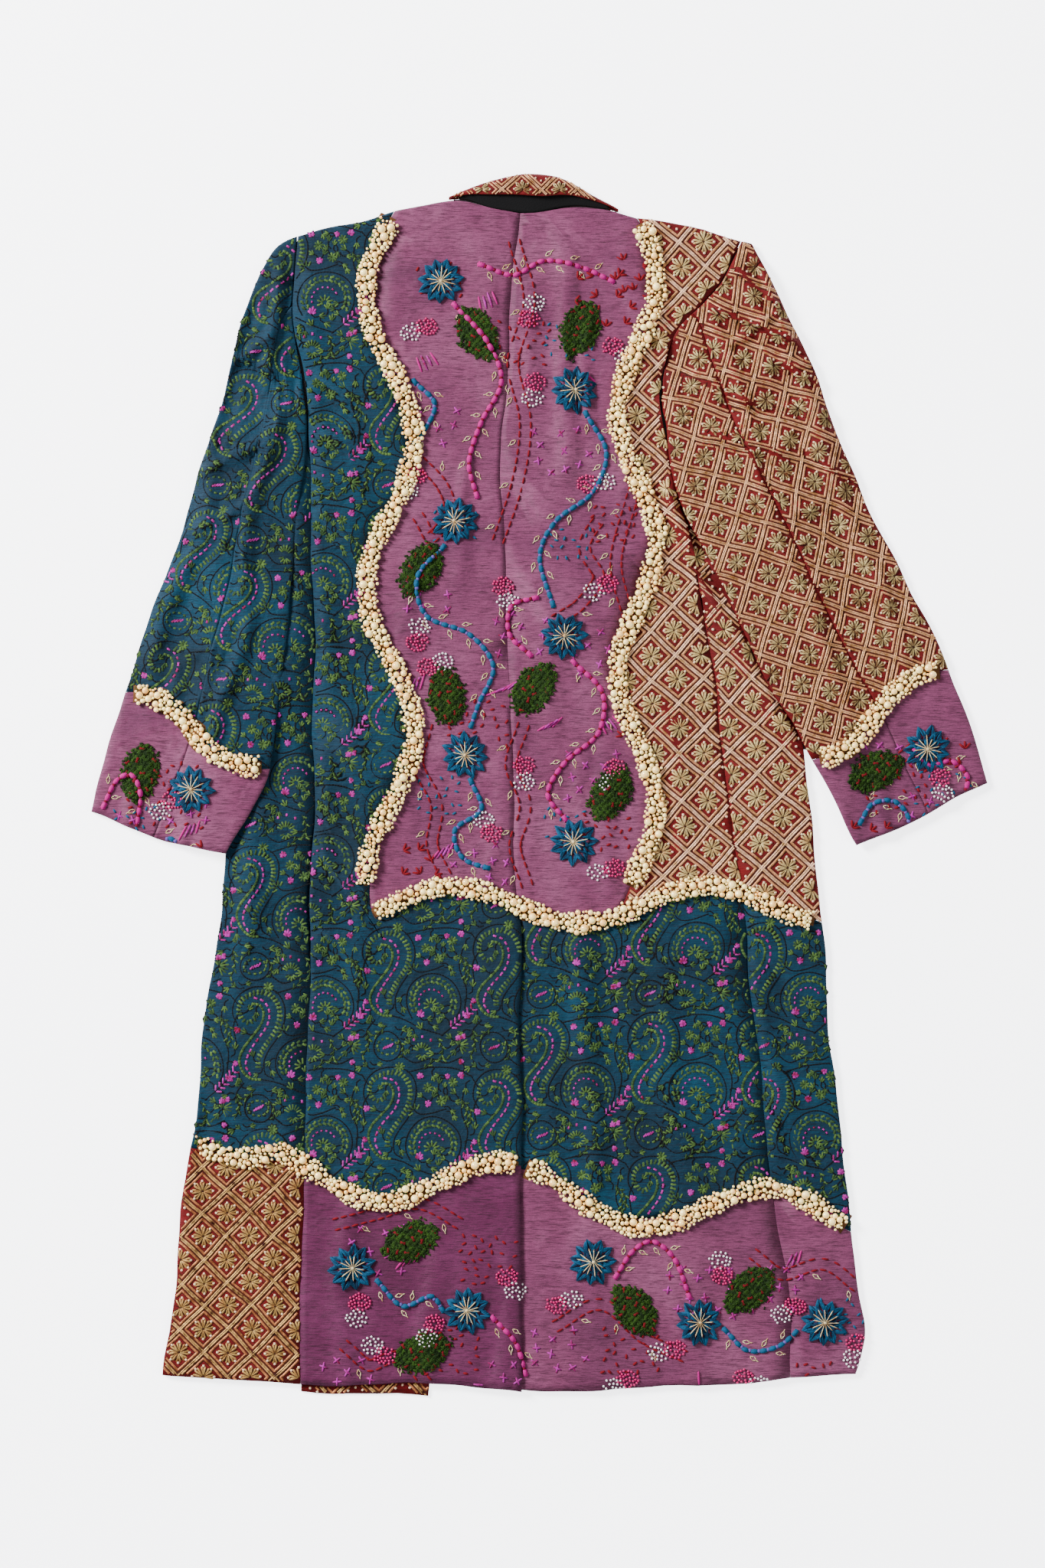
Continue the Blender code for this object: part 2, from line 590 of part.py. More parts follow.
def build_collar():
    """The turned collar: patterned cloth over the roll and inside the neck."""
    outer, inner = [], []
    for i in range(COLLAR_COLUMNS + 1):
        x = mix(COLLAR_ROLL[0][0], COLLAR_ROLL[-1][0], i / COLLAR_COLUMNS)
        height, lip, turn, ridge = collar_shape(x)
        radius = height / 2
        inside = 1 - COLLAR_WALL / radius
        lines = ([], [])
        for k in range(3):
            y, z = mix(lip, turn, k / 3), mix(height - COLLAR_DROP, height, k / 3)
            lines[0].append((x, y, z))
            lines[1].append((x, y, z - COLLAR_WALL))
        for k in range(FOLD_STEPS + 2):
            angle = math.pi * (0.5 - k / (FOLD_STEPS + 1))
            for line, share in ((lines[0], 1.0), (lines[1], inside)):
                line.append((x, turn + (ridge - turn) * share * math.cos(angle),
                             radius + radius * share * math.sin(angle)))
        for k in (1, 2):
            y = mix(turn, back_top(x) + COLLAR_TUCK, k / 2)
            lines[0].append((x, y, 0.0))
            lines[1].append((x, y, COLLAR_WALL))
        outer.append(lines[0])
        inner.append(lines[1])
    wall("collar", "lattice", outer, inner)


def build_stand():
    """The black stand, from the neck edge up under the fall of the collar."""
    top = []
    for i in range(COLLAR_COLUMNS + 1):
        x = mix(*STAND_ENDS, i / COLLAR_COLUMNS)
        height, _, turn, _ = collar_shape(x)
        under = height - COLLAR_DROP - COLLAR_WALL - STAND_CLEAR
        row = []
        for k in range(STAND_ROWS + 1):
            y = mix(back_top(x) + STAND_GAP, turn, k / STAND_ROWS)
            row.append((x, y, mix(min(BODY_HEIGHT, under), under, ease(k / 2))))
        top.append(row)
    wall("under_collar", "velvet", top, lowered(top, COLLAR_WALL))


class Ground:
    """The cloth's upper surface, for what is laid on it."""

    def __init__(self, objects):
        self.trees = []
        for obj in objects:
            obj.data.calc_loop_triangles()
            triangles = [tuple(t.vertices) for t in obj.data.loop_triangles]
            self.trees.append(BVHTree.FromPolygons([v.co for v in obj.data.vertices], triangles))

    def height(self, x, y):
        start = Vector((x * MM, y * MM, 0.2))
        hits = [tree.ray_cast(start, Vector((0, 0, -1)))[0] for tree in self.trees]
        return max((hit.z / MM for hit in hits if hit is not None), default=0.0)

    def clear(self, x, y, reach=CLEAR_REACH):
        """The least height there that clears the cloth all round within reach."""
        half = 0.5 * reach
        spots = [(0, 0), (reach, 0), (-reach, 0), (0, reach), (0, -reach),
                 (half, half), (-half, half), (half, -half), (-half, -half)]
        return max(self.height(x + dx, y + dy) for dx, dy in spots) + TRIM_GAP


def tube(name, cloth, rings):
    count = len(rings[0])
    faces = []
    for i in range(len(rings) - 1):
        for j in range(count):
            k = (j + 1) % count
            faces.append([i * count + j, i * count + k, (i + 1) * count + k, (i + 1) * count + j])
    faces.append(list(range(count)))
    faces.append([(len(rings) - 1) * count + j for j in range(count)])
    return solid(name, cloth, [p for ring in rings for p in ring], faces)


def pearl_band(name, ground, line):
    """The raised form of a band of pearls along a plan curve, lumpy as the pearls are."""
    start, end = BAND_ENDS[name]
    spots = [line(i / LENGTH_STEPS) for i in range(LENGTH_STEPS + 1)]
    length = sum(math.dist(a, b) for a, b in zip(spots, spots[1:]))
    first, last = start / length, 1 - end / length
    steps = max(3, round((last - first) * length / PEARL_STEP))
    rings = []
    for i in range(steps + 1):
        share = mix(first, last, i / steps)
        x, y = line(share)
        ahead, behind = line(min(1, share + NEARBY)), line(max(0, share - NEARBY))
        dx, dy = ahead[0] - behind[0], ahead[1] - behind[1]
        size = math.hypot(dx, dy)
        wider, taller = (1 + most * math.sin(pace * i) for most, pace in LUMPS)
        ring = []
        for offset, rise in PEARL_SECTION:
            off = offset * wider * PEARL_WIDTH / 2
            px, py = x - dy / size * off, y + dx / size * off
            ring.append((px, py, ground.clear(px, py) + rise * taller * PEARL_HEIGHT))
        rings.append(ring)
    return tube(f"pearls_{name}", "pearl", rings)


def build_pearls(ground):
    def down(curve, top, bottom):
        return lambda share: (curve(mix(top, bottom, share)), mix(top, bottom, share))

    def across(curve, left, right):
        return lambda share: (mix(left, right, share), curve(mix(left, right, share)))

    for name, curve in (("left", patch_left), ("right", patch_right)):
        top, bottom = meet(curve, back_top)[1], meet(curve, waist)[1]
        pearl_band(name, ground, down(curve, top - BAND_TOP, bottom))
    for name, curve, left, right in (("waist", waist, patch_left, side_right),
                                     ("hem_left", hem_line, side_left, centre_back),
                                     ("hem_right", hem_line, centre_back, side_right)):
        pearl_band(name, ground, across(curve, meet(left, curve)[0], meet(right, curve)[0]))
    for side in SLEEVES:
        plan = sleeve_plan(side)
        pearl_band(f"cuff_{side}", ground, lambda w: plan(cuff_line(w), w))


def mound(name, cloth, ground, outline, centre, height):
    """A low raised patch with a given outline, thickest at its middle."""
    count = len(outline)
    inside = [(mix(centre[0], x, MOUND_SHOULDER), mix(centre[1], y, MOUND_SHOULDER))
              for x, y in outline]
    points = [(x, y, ground.clear(x, y)) for x, y in outline]
    points += [(x, y, ground.clear(x, y) + MOUND_RIM * height) for x, y in outline]
    points += [(x, y, ground.clear(x, y) + height) for x, y in inside]
    middle = ground.clear(*centre)
    points += [(*centre, middle), (*centre, middle + height)]
    faces = []
    for j in range(count):
        k = (j + 1) % count
        faces.append([j, k, count + k, count + j])
        faces.append([count + j, count + k, 2 * count + k, 2 * count + j])
        faces.append([2 * count + j, 2 * count + k, 3 * count + 1])
        faces.append([j, k, 3 * count])
    return solid(name, cloth, points, faces)


def build_flowers(ground):
    for index, (x, y, turn) in enumerate(FLOWERS, 1):
        outline = []
        for k in range(2 * FLOWER_PETALS):
            angle = math.radians(turn) + math.pi * k / FLOWER_PETALS
            radius = FLOWER_RADIUS * (1.0 if k % 2 == 0 else FLOWER_NOTCH)
            outline.append((x + radius * math.cos(angle), y + radius * math.sin(angle)))
        mound(f"flower_{index:02d}", "flower", ground, outline, (x, y), FLOWER_HEIGHT)


def build_leaves(ground):
    for index, (x, y, turn) in enumerate(LEAVES, 1):
        angle = math.radians(turn)
        outline = []
        for k in range(2 * LEAF_STEPS):
            share = k / LEAF_STEPS if k <= LEAF_STEPS else 2 - k / LEAF_STEPS
            side = 1 if k <= LEAF_STEPS else -1
            run = LEAF_LENGTH * (share - 0.5)
            off = side * LEAF_WIDTH / 2 * math.sin(math.pi * share) ** LEAF_FULLNESS
            outline.append((x + run * math.cos(angle) - off * math.sin(angle),
                            y + run * math.sin(angle) + off * math.cos(angle)))
        mound(f"leaf_{index:02d}", "leaf", ground, outline, (x, y), LEAF_HEIGHT)


def main():
    clear_scene()
    build_back()
    build_sides()
    build_fronts()
    build_sleeves()
    build_collar()
    build_stand()
    ground = Ground(list(bpy.data.objects))
    build_pearls(ground)
    build_flowers(ground)
    build_leaves(ground)


main()
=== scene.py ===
"""The looks of a long embroidered coat that lies flat with its back up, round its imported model."""
import itertools
import math
import random

import bmesh
import bpy
import numpy as np
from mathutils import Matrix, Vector
from mathutils.bvhtree import BVHTree


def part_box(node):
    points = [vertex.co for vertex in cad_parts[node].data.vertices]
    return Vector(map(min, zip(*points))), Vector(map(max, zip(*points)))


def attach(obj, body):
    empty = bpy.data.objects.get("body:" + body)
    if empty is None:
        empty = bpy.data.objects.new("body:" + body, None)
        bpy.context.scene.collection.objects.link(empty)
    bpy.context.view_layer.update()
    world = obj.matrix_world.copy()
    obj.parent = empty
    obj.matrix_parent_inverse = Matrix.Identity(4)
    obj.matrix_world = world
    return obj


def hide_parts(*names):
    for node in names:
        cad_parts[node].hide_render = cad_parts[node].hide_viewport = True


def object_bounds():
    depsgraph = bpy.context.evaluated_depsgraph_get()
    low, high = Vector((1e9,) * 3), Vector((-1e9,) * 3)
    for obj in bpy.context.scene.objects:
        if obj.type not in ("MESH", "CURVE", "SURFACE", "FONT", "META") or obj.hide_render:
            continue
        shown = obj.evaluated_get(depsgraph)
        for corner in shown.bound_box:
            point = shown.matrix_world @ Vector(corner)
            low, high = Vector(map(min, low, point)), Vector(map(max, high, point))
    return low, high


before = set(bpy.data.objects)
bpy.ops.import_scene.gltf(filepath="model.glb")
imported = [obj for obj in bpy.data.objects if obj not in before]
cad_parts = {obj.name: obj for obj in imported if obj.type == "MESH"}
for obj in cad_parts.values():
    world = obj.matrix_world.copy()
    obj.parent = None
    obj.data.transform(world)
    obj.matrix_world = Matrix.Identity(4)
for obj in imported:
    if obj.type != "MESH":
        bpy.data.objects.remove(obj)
CAD_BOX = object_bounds()

MM = 0.001
SEED = 11
random.seed(SEED)

# The photo's frame on the coat, in metres
FRAME_CENTRE = (-0.0171, 0.0015)
FRAME_HEIGHT = 1.5565
LENS, SENSOR = 100.0, 36.0

# Thread, cloth and bead colours as sRGB, 0 to 255
COLOURS = {
    "teal": (2, 58, 84), "teal_dark": (2, 24, 40), "teal_light": (12, 78, 106),
    "teal_deep": (2, 42, 62), "plum_deep": (124, 56, 97), "red_deep": (112, 6, 12),
    "plum": (152, 72, 116), "plum_dark": (58, 14, 38), "plum_light": (176, 98, 140),
    "red": (128, 6, 14), "red_dark": (74, 5, 8), "red_light": (140, 10, 16),
    "green": (100, 136, 64), "green_dark": (56, 88, 46), "navy": (1, 4, 12),
    "magenta": (218, 60, 196), "pink_gold": (255, 206, 172), "gold": (224, 168, 104),
    "bronze": (236, 184, 112), "olive_gold": (236, 208, 140), "cream": (255, 226, 188),
    # The pearls, and the ground between them, whose dark colour is painted shade
    "pearl": (255, 228, 150), "pearl_dark": (250, 190, 100), "bed": (126, 80, 42),
    "rose_gold": (240, 164, 118), "rose_bronze": (224, 142, 90), "bronze_dark": (190, 130, 70),
    "umber": (140, 74, 34), "warm_gold": (250, 190, 142), "dark_olive": (232, 204, 140),
    "dull_gold": (222, 178, 104),
    # The plum silk's darker copy, painted shade for the hem's left
    "plum_shaded": (120, 40, 90), "plum_shaded_deep": (98, 30, 74), "plum_shaded_light": (140, 58, 110),
    "plum_shaded_dark": (46, 12, 32), "brown": (74, 22, 12), "moss": (56, 92, 16), "moss_dark": (24, 48, 8),
    "maroon": (136, 10, 26), "flower_blue": (24, 106, 150), "flower_dark": (6, 52, 86),
    "bone": (255, 240, 190), "rope_magenta": (224, 26, 154), "seed_magenta": (222, 2, 116),
    "wrap_red": (140, 4, 44), "rope_blue": (16, 100, 144), "wrap_lilac": (124, 104, 200),
    "stitch_red": (150, 6, 30), "white": (250, 240, 246), "black": (16, 15, 17),
    # The floor, and its part that the coat hides, which is lowered to dark as painted shade
    "floor": (250, 250, 252), "floor_painted_shade": (250, 250, 252),
}


# The lights are strong enough to bring the floor near white, so the coat's colours are lowered;
# metal threads and beads keep more of theirs
LOWERED = 0.42
SHARES = {
    "pink_gold": 0.74, "warm_gold": 0.64, "dark_olive": 0.55, "rose_gold": 0.66, "rose_bronze": 0.62,
    "bronze": 0.7, "bronze_dark": 0.5, "gold": 0.5, "olive_gold": 0.56, "dull_gold": 0.52,
    "cream": 0.7, "bone": 0.56, "white": 0.65, "seed_magenta": 0.44, "pearl": 1.0,
    # The floor where the coat hides it keeps a tenth of its colour: painted shade
    "pearl_dark": 0.9, "floor": 1.0, "floor_painted_shade": 0.1,
}


def colour(name):
    """A named colour in Blender's linear values, lowered to its share."""
    found = []
    for value in COLOURS[name]:
        value /= 255
        linear = value / 12.92 if value <= 0.04045 else ((value + 0.055) / 1.055) ** 2.4
        found.append(linear * SHARES.get(name, LOWERED))
    return (*found, 1.0)


def mix(a, b, share):
    return a + (b - a) * share


def polar(reach, angle, x=0.0, y=0.0):
    """The place at this reach and angle from (x, y)."""
    return x + reach * math.cos(angle), y + reach * math.sin(angle)


def sideways(x, y, heading, shift):
    """The place this far to the left of (x, y), seen along the heading."""
    return x - shift * math.sin(heading), y + shift * math.cos(heading)


def give(node, values):
    """Set a node's inputs by their names."""
    for key, value in values.items():
        node.inputs[key].default_value = value


class Nodes:
    """A material's node tree, with short calls for the nodes that the materials here share."""

    def __init__(self, name, roughness, specular, metallic=0.0, sheen=0.0, coat=0.0):
        self.material = bpy.data.materials.new(name)
        self.material.use_nodes = True
        self.tree = self.material.node_tree
        self.shader = self.tree.nodes["Principled BSDF"]
        give(self.shader, {"Roughness": roughness, "Metallic": metallic, "Sheen Weight": sheen,
                           "Sheen Roughness": 0.5, "Coat Weight": coat, "Coat Roughness": 0.15,
                           "Specular IOR Level": specular})
        self.place = self.add("ShaderNodeTexCoord").outputs["Object"]

    def add(self, kind, **values):
        node = self.tree.nodes.new(kind)
        for key, value in values.items():
            setattr(node, key, value)
        return node

    def link(self, source, target):
        self.tree.links.new(source, target)

    def noise(self, scale, detail=2, rough=0.5, distortion=0.0):
        """Noise whose features are scale=(x, y, z) to the metre."""
        mapping = self.add("ShaderNodeMapping", vector_type="TEXTURE")
        give(mapping, {"Scale": tuple(1 / s for s in scale)})
        self.link(self.place, mapping.inputs["Vector"])
        noise = self.add("ShaderNodeTexNoise")
        give(noise, {"Scale": 1.0, "Detail": detail, "Roughness": rough, "Distortion": distortion})
        self.link(mapping.outputs["Vector"], noise.inputs["Vector"])
        return noise.outputs["Fac"]

    def ramp(self, source, *stops):
        """A colour ramp with (position, colour name or grey) stops."""
        ramp = self.add("ShaderNodeValToRGB")
        points = ramp.color_ramp.elements
        while len(points) < len(stops):
            points.new(0.5)
        for point, (position, name) in zip(points, stops):
            point.position = position
            point.color = colour(name) if isinstance(name, str) else (name, name, name, 1)
        self.link(source, ramp.inputs["Fac"])
        return ramp.outputs["Color"]

    def blend(self, share, first, second, way="MIX"):
        """Two colours mixed; each value is a number, a socket or a colour's name."""
        node = self.add("ShaderNodeMix", data_type="RGBA", blend_type=way)
        for key, value in (("Factor", share), ("A", first), ("B", second)):
            if isinstance(value, bpy.types.NodeSocket):
                self.link(value, node.inputs[key])
            else:
                give(node, {key: colour(value) if isinstance(value, str) else value})
        return node.outputs["Result"]

    def bump(self, *layers):
        """Bump from (height source, distance in mm) layers, on top of each other."""
        normal = None
        for source, distance in layers:
            node = self.add("ShaderNodeBump")
            give(node, {"Strength": 1.0, "Distance": distance * MM})
            self.link(source, node.inputs["Height"])
            if normal is not None:
                self.link(normal, node.inputs["Normal"])
            normal = node.outputs["Normal"]
        self.link(normal, self.shader.inputs["Normal"])

    def paint(self, source):
        self.link(source, self.shader.inputs["Base Color"])
        return self.material


def slub_cloth(name, shade, roughness=0.75, sheen=0.0, streaks=0.8, crinkle=0.0):
    """Hand woven silk or wool: long uneven slubs along one way, over a fine weave."""
    nodes = Nodes(name, roughness, 0.14, sheen=sheen)
    broad = nodes.noise((7, 9, 7), 3, 0.6)
    ground = nodes.ramp(broad, (0.30, shade + "_deep"), (0.48, shade), (0.72, shade + "_light"))
    thin = nodes.noise((90, 1250, 90), 3, 0.65, 0.2)
    lines = nodes.ramp(thin, (0.46, 0.0), (0.66, 1.0))
    long_slub = nodes.noise((56, 820, 60), 2, 0.5, 0.1)
    slubs = nodes.ramp(long_slub, (0.64, 0.0), (0.70, 0.9))
    marks = nodes.blend(1.0, lines, slubs, "LIGHTEN")
    share = nodes.blend(1.0, marks, (streaks, streaks, streaks, 1), "MULTIPLY")
    cloth = nodes.blend(share, ground, shade + "_dark")
    fine = nodes.noise((900, 1500, 900), 2, 0.6)
    creases = nodes.noise((16, 5, 16), 2, 0.4, 0.6)
    flecks = nodes.ramp(fine, (0.35, 0.72), (0.65, 1.0))
    cloth = nodes.blend(1.0, cloth, flecks, "MULTIPLY")
    puckers = nodes.noise((46, 60, 50), 2, 0.5, 0.4)
    layers = [(creases, 5.0), (puckers, 1.8), (thin, 0.22), (long_slub, 0.18), (fine, 0.2)]
    if crinkle:
        layers.append((nodes.noise((130, 150, 130), 2, 0.5, 0.6), crinkle))
    nodes.bump(*layers)
    return nodes.paint(cloth)


# Fibres of a thread to the metre, and their relief in mm
FIBRES, FIBRE_BUMP = 900, 0.3


def thread(name, base, dark, roughness, metallic=0.0, low=0.7):
    """Thread or yarn with a little uneven colour from strand to strand."""
    nodes = Nodes(name, roughness, 0.15, metallic)
    patches = nodes.noise((160, 160, 160), 2, 0.6)
    fibres = nodes.noise((FIBRES, FIBRES, FIBRES), 2, 0.6)
    tone = nodes.ramp(patches, (0.30, dark), (0.62, base))
    shade = nodes.ramp(fibres, (0.36, low), (0.62, 1.0))
    nodes.bump((fibres, FIBRE_BUMP))
    return nodes.paint(nodes.blend(1.0, tone, shade, "MULTIPLY"))


def pearl_material():
    nodes = Nodes("pearl", 0.2, 0.6, coat=0.5)
    tone = nodes.noise((120, 120, 120), 1)
    give(nodes.shader, {"Subsurface Weight": 0.15, "Subsurface Scale": 0.003})
    return nodes.paint(nodes.ramp(tone, (0.3, "pearl_dark"), (0.6, "pearl")))


def bead_material(name, tint):
    nodes = Nodes(name, 0.4, 0.3, coat=0.12)
    give(nodes.shader, {"Base Color": colour(tint)})
    return nodes.material


def make_materials():
    return {
        "paisley_cloth": slub_cloth("paisley_cloth", "teal", crinkle=0.9),
        "plum_silk": slub_cloth("plum_silk", "plum", roughness=0.6, sheen=0.06, streaks=0.75),
        # The plum silk again in darker colours: painted shade for the hem's left
        "shaded_hem_silk": slub_cloth("shaded_hem_silk", "plum_shaded", roughness=0.6, sheen=0.06, streaks=0.7),
        "lattice_cloth": slub_cloth("lattice_ground", "red", streaks=0.5),
        "black_velvet": thread("black_velvet", "black", "black", 0.95),
        "pearl": pearl_material(),
        # The pearls' ground, dark as painted shade between them
        "bed": thread("bead_ground_and_shade", "bed", "bed", 0.9),
        "seed_magenta": bead_material("seed_magenta", "seed_magenta"),
        "seed_white": bead_material("seed_white", "white"),
    }


# Each thread and the colour of its darker patches
THREADS = {
    "green": "green_dark", "magenta": "wrap_red", "pink_gold": "gold", "bronze": "brown",
    "rose_gold": "bronze_dark", "rose_bronze": "umber", "warm_gold": "bronze_dark",
    "dark_olive": "umber", "dull_gold": "bronze_dark", "olive_gold": "gold", "cream": "pink_gold",
    "flower_blue": "flower_dark", "bone": "gold", "moss": "moss_dark", "rope_blue": "flower_blue",
}
# Threads of the same colour throughout
ONE_COLOUR = ("green_dark", "navy", "brown", "flower_dark", "moss_dark", "maroon", "rope_magenta",
              "wrap_red", "wrap_lilac", "stitch_red")
# Threads with metal in them, and how metallic they are
METAL = {"cream": 0.2}
METAL |= dict.fromkeys(("pink_gold", "rose_gold", "rose_bronze", "bronze", "warm_gold", "dark_olive",
                        "olive_gold", "dull_gold"), 0.35)


def make_threads():
    made = {}
    for ink, dark in (THREADS | {ink: ink for ink in ONE_COLOUR}).items():
        metal = METAL.get(ink)
        made[ink] = (thread("thread_" + ink, ink, dark, 0.5, metal, 0.45) if metal
                     else thread("thread_" + ink, ink, dark, 0.85))
    return made


# Points nearer than this are one, and two nodes meet across a seam of up to this, in metres
WELD, SEAM_GAP = 0.02 * MM, 0.6 * MM


def solid_mesh(*nodes):
    """The CAD nodes' mesh, with its triangles joined into quads; two nodes meet without a wall."""
    work = bmesh.new()
    for node in nodes:
        work.from_mesh(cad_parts[node].data)
    bmesh.ops.remove_doubles(work, verts=work.verts, dist=WELD)
    if len(nodes) > 1:
        near = bmesh.ops.find_doubles(work, verts=work.verts, dist=SEAM_GAP)["targetmap"]
        seam = set(near) | set(near.values())
        walls = [f for f in work.faces if seam.issuperset(f.verts) and abs(f.normal.z) < 0.5]
        bmesh.ops.delete(work, geom=walls, context="FACES_ONLY")
        bmesh.ops.weld_verts(work, targetmap=near)
    bmesh.ops.join_triangles(work, faces=work.faces, angle_face_threshold=math.radians(30),
                             angle_shape_threshold=math.radians(75))
    return work


# Slow waves by which hand made cloth is pulled out of true: along x, along y, start, reach in mm
PULLS_X = ((0.021, 0.034, 1.0, 1.2), (0.061, -0.043, 2.2, 0.8), (0.09, 0.11, 0.3, 0.35))
PULLS_Y = ((0.026, -0.017, 0.4, 1.3), (-0.047, 0.066, 3.0, 0.8), (0.12, -0.08, 1.1, 0.35))


def pulled(x, y):
    """The place in plan mm that a point at (x, y) is pulled to."""
    return (x + sum(reach * np.sin(a * x + b * y + start) for a, b, start, reach in PULLS_X),
            y + sum(reach * np.sin(a * x + b * y + start) for a, b, start, reach in PULLS_Y))


# Soft folds for the pieces whose name starts so: a fold's ends in plan mm, half
# width and height
FOLDS = {
    "back": (
        (22, 560, 30, 300, 22, 2.6), (26, 330, 14, 60, 26, 2.2), (60, 120, 70, -130, 24, 1.8),
        (-60, 545, -40, 380, 22, 1.6), (-128, 250, -140, -20, 20, 1.5), (-30, 40, -54, -120, 22, 1.8),
        (-176, 500, -196, 260, 20, 2.2), (-212, 200, -222, -180, 22, 2.4), (-180, 60, -176, -240, 26, 1.8),
        (112, 480, 150, 360, 15, 2.6), (104, 420, 150, 300, 14, 2.2), (118, 330, 168, 170, 18, 2.2),
        (70, 530, 110, 440, 16, 2.0), (120, 120, 150, -60, 20, 2.0), (-8, 500, -12, 380, 13, 2.2),
        (48, 470, 44, 350, 12, 2.4), (90, 380, 84, 250, 13, 2.0), (-70, 330, -84, 190, 14, 1.8),
        (10, 200, 6, 60, 14, 1.8), (44, 40, 36, -90, 14, 1.8)),
    "skirt": (
        (-120, -140, -128, -400, 26, 2.0), (-40, -130, -46, -420, 22, 1.8),
        (44, -130, 52, -440, 28, 2.4), (118, -140, 140, -430, 24, 2.2), (190, -180, 206, -430, 20, 1.6)),
    "hem": (
        (-190, -400, -196, -600, 24, 2.0), (-104, -420, -110, -600, 26, 2.2),
        (-30, -440, -34, -600, 18, 1.6), (50, -430, 58, -600, 24, 2.2), (140, -430, 156, -600, 26, 2.4),
        (216, -430, 232, -590, 20, 1.8)),
    "side_left": (
        (-262, 180, -290, -160, 20, 2.4), (-286, -60, -318, -400, 24, 2.2),
        (-250, -200, -262, -560, 22, 2.0), (-340, -300, -352, -560, 18, 1.8)),
    "side_right": (
        (192, 230, 214, 20, 16, 2.4), (222, 120, 232, -110, 14, 1.8),
        (214, -120, 240, -400, 20, 2.2), (262, -330, 276, -560, 18, 1.8), (145, 234, 251, 42, 13, 4.8)),
    "sleeve_left": (
        (-256, 520, -268, 400, 16, 2.4), (-292, 500, -330, 320, 20, 2.8),
        (-260, 380, -300, 180, 20, 2.6), (-318, 330, -384, 110, 24, 3.0), (-286, 170, -330, 20, 18, 2.4),
        (-350, 130, -398, 0, 18, 2.0), (-330, 250, -290, 214, 12, 1.8), (-362, 160, -318, 128, 12, 1.6),
        (-262, 446, -334, 402, 14, 2.6), (-250, 500, -300, 520, 12, 2.4), (-262, 350, -336, 306, 13, 2.4),
        (-286, 280, -366, 240, 12, 2.0), (-300, 100, -380, 60, 12, 2.0)),
    "sleeve_right": (
        (196, 530, 232, 400, 18, 2.6), (170, 470, 216, 340, 14, 2.4),
        (228, 470, 296, 290, 20, 2.8), (206, 330, 262, 170, 16, 2.6), (268, 380, 340, 180, 22, 3.0),
        (262, 200, 310, 60, 18, 2.6), (334, 210, 372, 80, 18, 2.2), (292, 290, 246, 262, 12, 1.8),
        (168, 472, 262, 428, 13, 3.4), (150, 396, 284, 366, 14, 3.0), (182, 436, 240, 474, 10, 3.0),
        (158, 352, 244, 318, 12, 2.6), (218, 520, 246, 440, 11, 2.8), (240, 420, 300, 410, 10, 2.4),
        (200, 300, 290, 262, 12, 2.2)),
    "back_right_outer": ((125, 304, 151, 223, 13, 4.6),),
    "cuff_left": ((-400, 0, -420, -80, 16, 1.6), (-350, 0, -360, -100, 16, 1.8)),
    "cuff_right": ((330, 10, 352, -80, 16, 1.8), (392, 20, 410, -50, 16, 1.6)),
}
# Sharp creases: their ends in plan mm, the height of the lip on their left, its reach and how
# much cloth each side loses in the crease
CREASES = {
    "sleeve_right": (
        (166, 474, 262, 436, 7.0, 15, 4.0), (192, 514, 240, 474, 4.8, 11, 3.0),
        (146, 408, 216, 376, 5.6, 14, 3.4), (226, 424, 292, 386, 4.4, 13, 3.0),
        (170, 352, 246, 322, 4.2, 13, 2.6), (262, 330, 318, 296, 3.2, 12, 2.2)),
    "back_left_outer": (
        (-249, 506, -233, 330, 7.0, 20, 0.0), (-232, 340, -269, 64, 7.0, 20, 0.0)),
    "side_left": ((-232, 340, -269, 64, 7.0, 20, 0.0),),
    "sleeve_left": (
        (-330, 440, -256, 404, 3.6, 13, 2.5), (-344, 352, -262, 320, 3.2, 13, 2.2),
        (-352, 256, -290, 226, 2.8, 13, 2.0), (-380, 142, -312, 116, 2.4, 12, 2.0)),
}
# How far a lip slopes down on its right, and how far a crease draws the stitches in, in mm
LIP_DROP, TUCK_REACH = 3.0, 26.0
# Cloth below the first height stays where it lies; above the second it moves with a fold
FOLD_FROM, FOLD_WHOLE = 2.6, 4.4
# The same for a lip at a seam, which loses no cloth and rises with its underside left down, so
# that no gap opens
LIP_FROM, LIP_WHOLE = 4.5, 6.0
# The share of a fold's length over which it fades, and how much higher than listed it rises
END_FADE, FOLD_RISE = 0.22, 1.5
# How far a fold sways to its sides, as a share of its half width, and how fast
FOLD_SWAY, FOLD_WAVES = 0.16, 7.0


def lines_over(table, node):
    """The lines that the table has for this piece."""
    return [line for part, found in table.items() if node.startswith(part) for line in found]


def beside(x, y, x0, y0, x1, y1):
    """How far along a line a place lies, as a share, and how far to its left."""
    length = math.hypot(x1 - x0, y1 - y0)
    u, v = (x1 - x0) / length, (y1 - y0) / length
    return ((x - x0) * u + (y - y0) * v) / length, (x - x0) * -v + (y - y0) * u, (-v, u)


def fading(along):
    """One in the middle of a fold, nothing at its ends."""
    ends = np.clip(np.minimum(along, 1 - along) / END_FADE + 0.4, 0, 1)
    return ends * ends * (3 - 2 * ends)


def laid_at(node, x, y):
    """Where places of the flat pattern come to lie in plan mm, and which aren't inside a crease."""
    kept = np.ones(len(x), bool)
    for *line, _, _, loss in lines_over(CREASES, node):
        along, left, normal = beside(x, y, *line)
        drawn = loss * fading(along) * np.exp(-np.abs(left) / TUCK_REACH)
        kept &= np.abs(left) >= drawn
        move = -np.copysign(drawn, left)
        x, y = x + normal[0] * move, y + normal[1] * move
    return (*pulled(x, y), kept)


def risen(height, low, high):
    """Nothing below the first height, one above the second."""
    return np.clip((height - low) / (high - low), 0, 1)


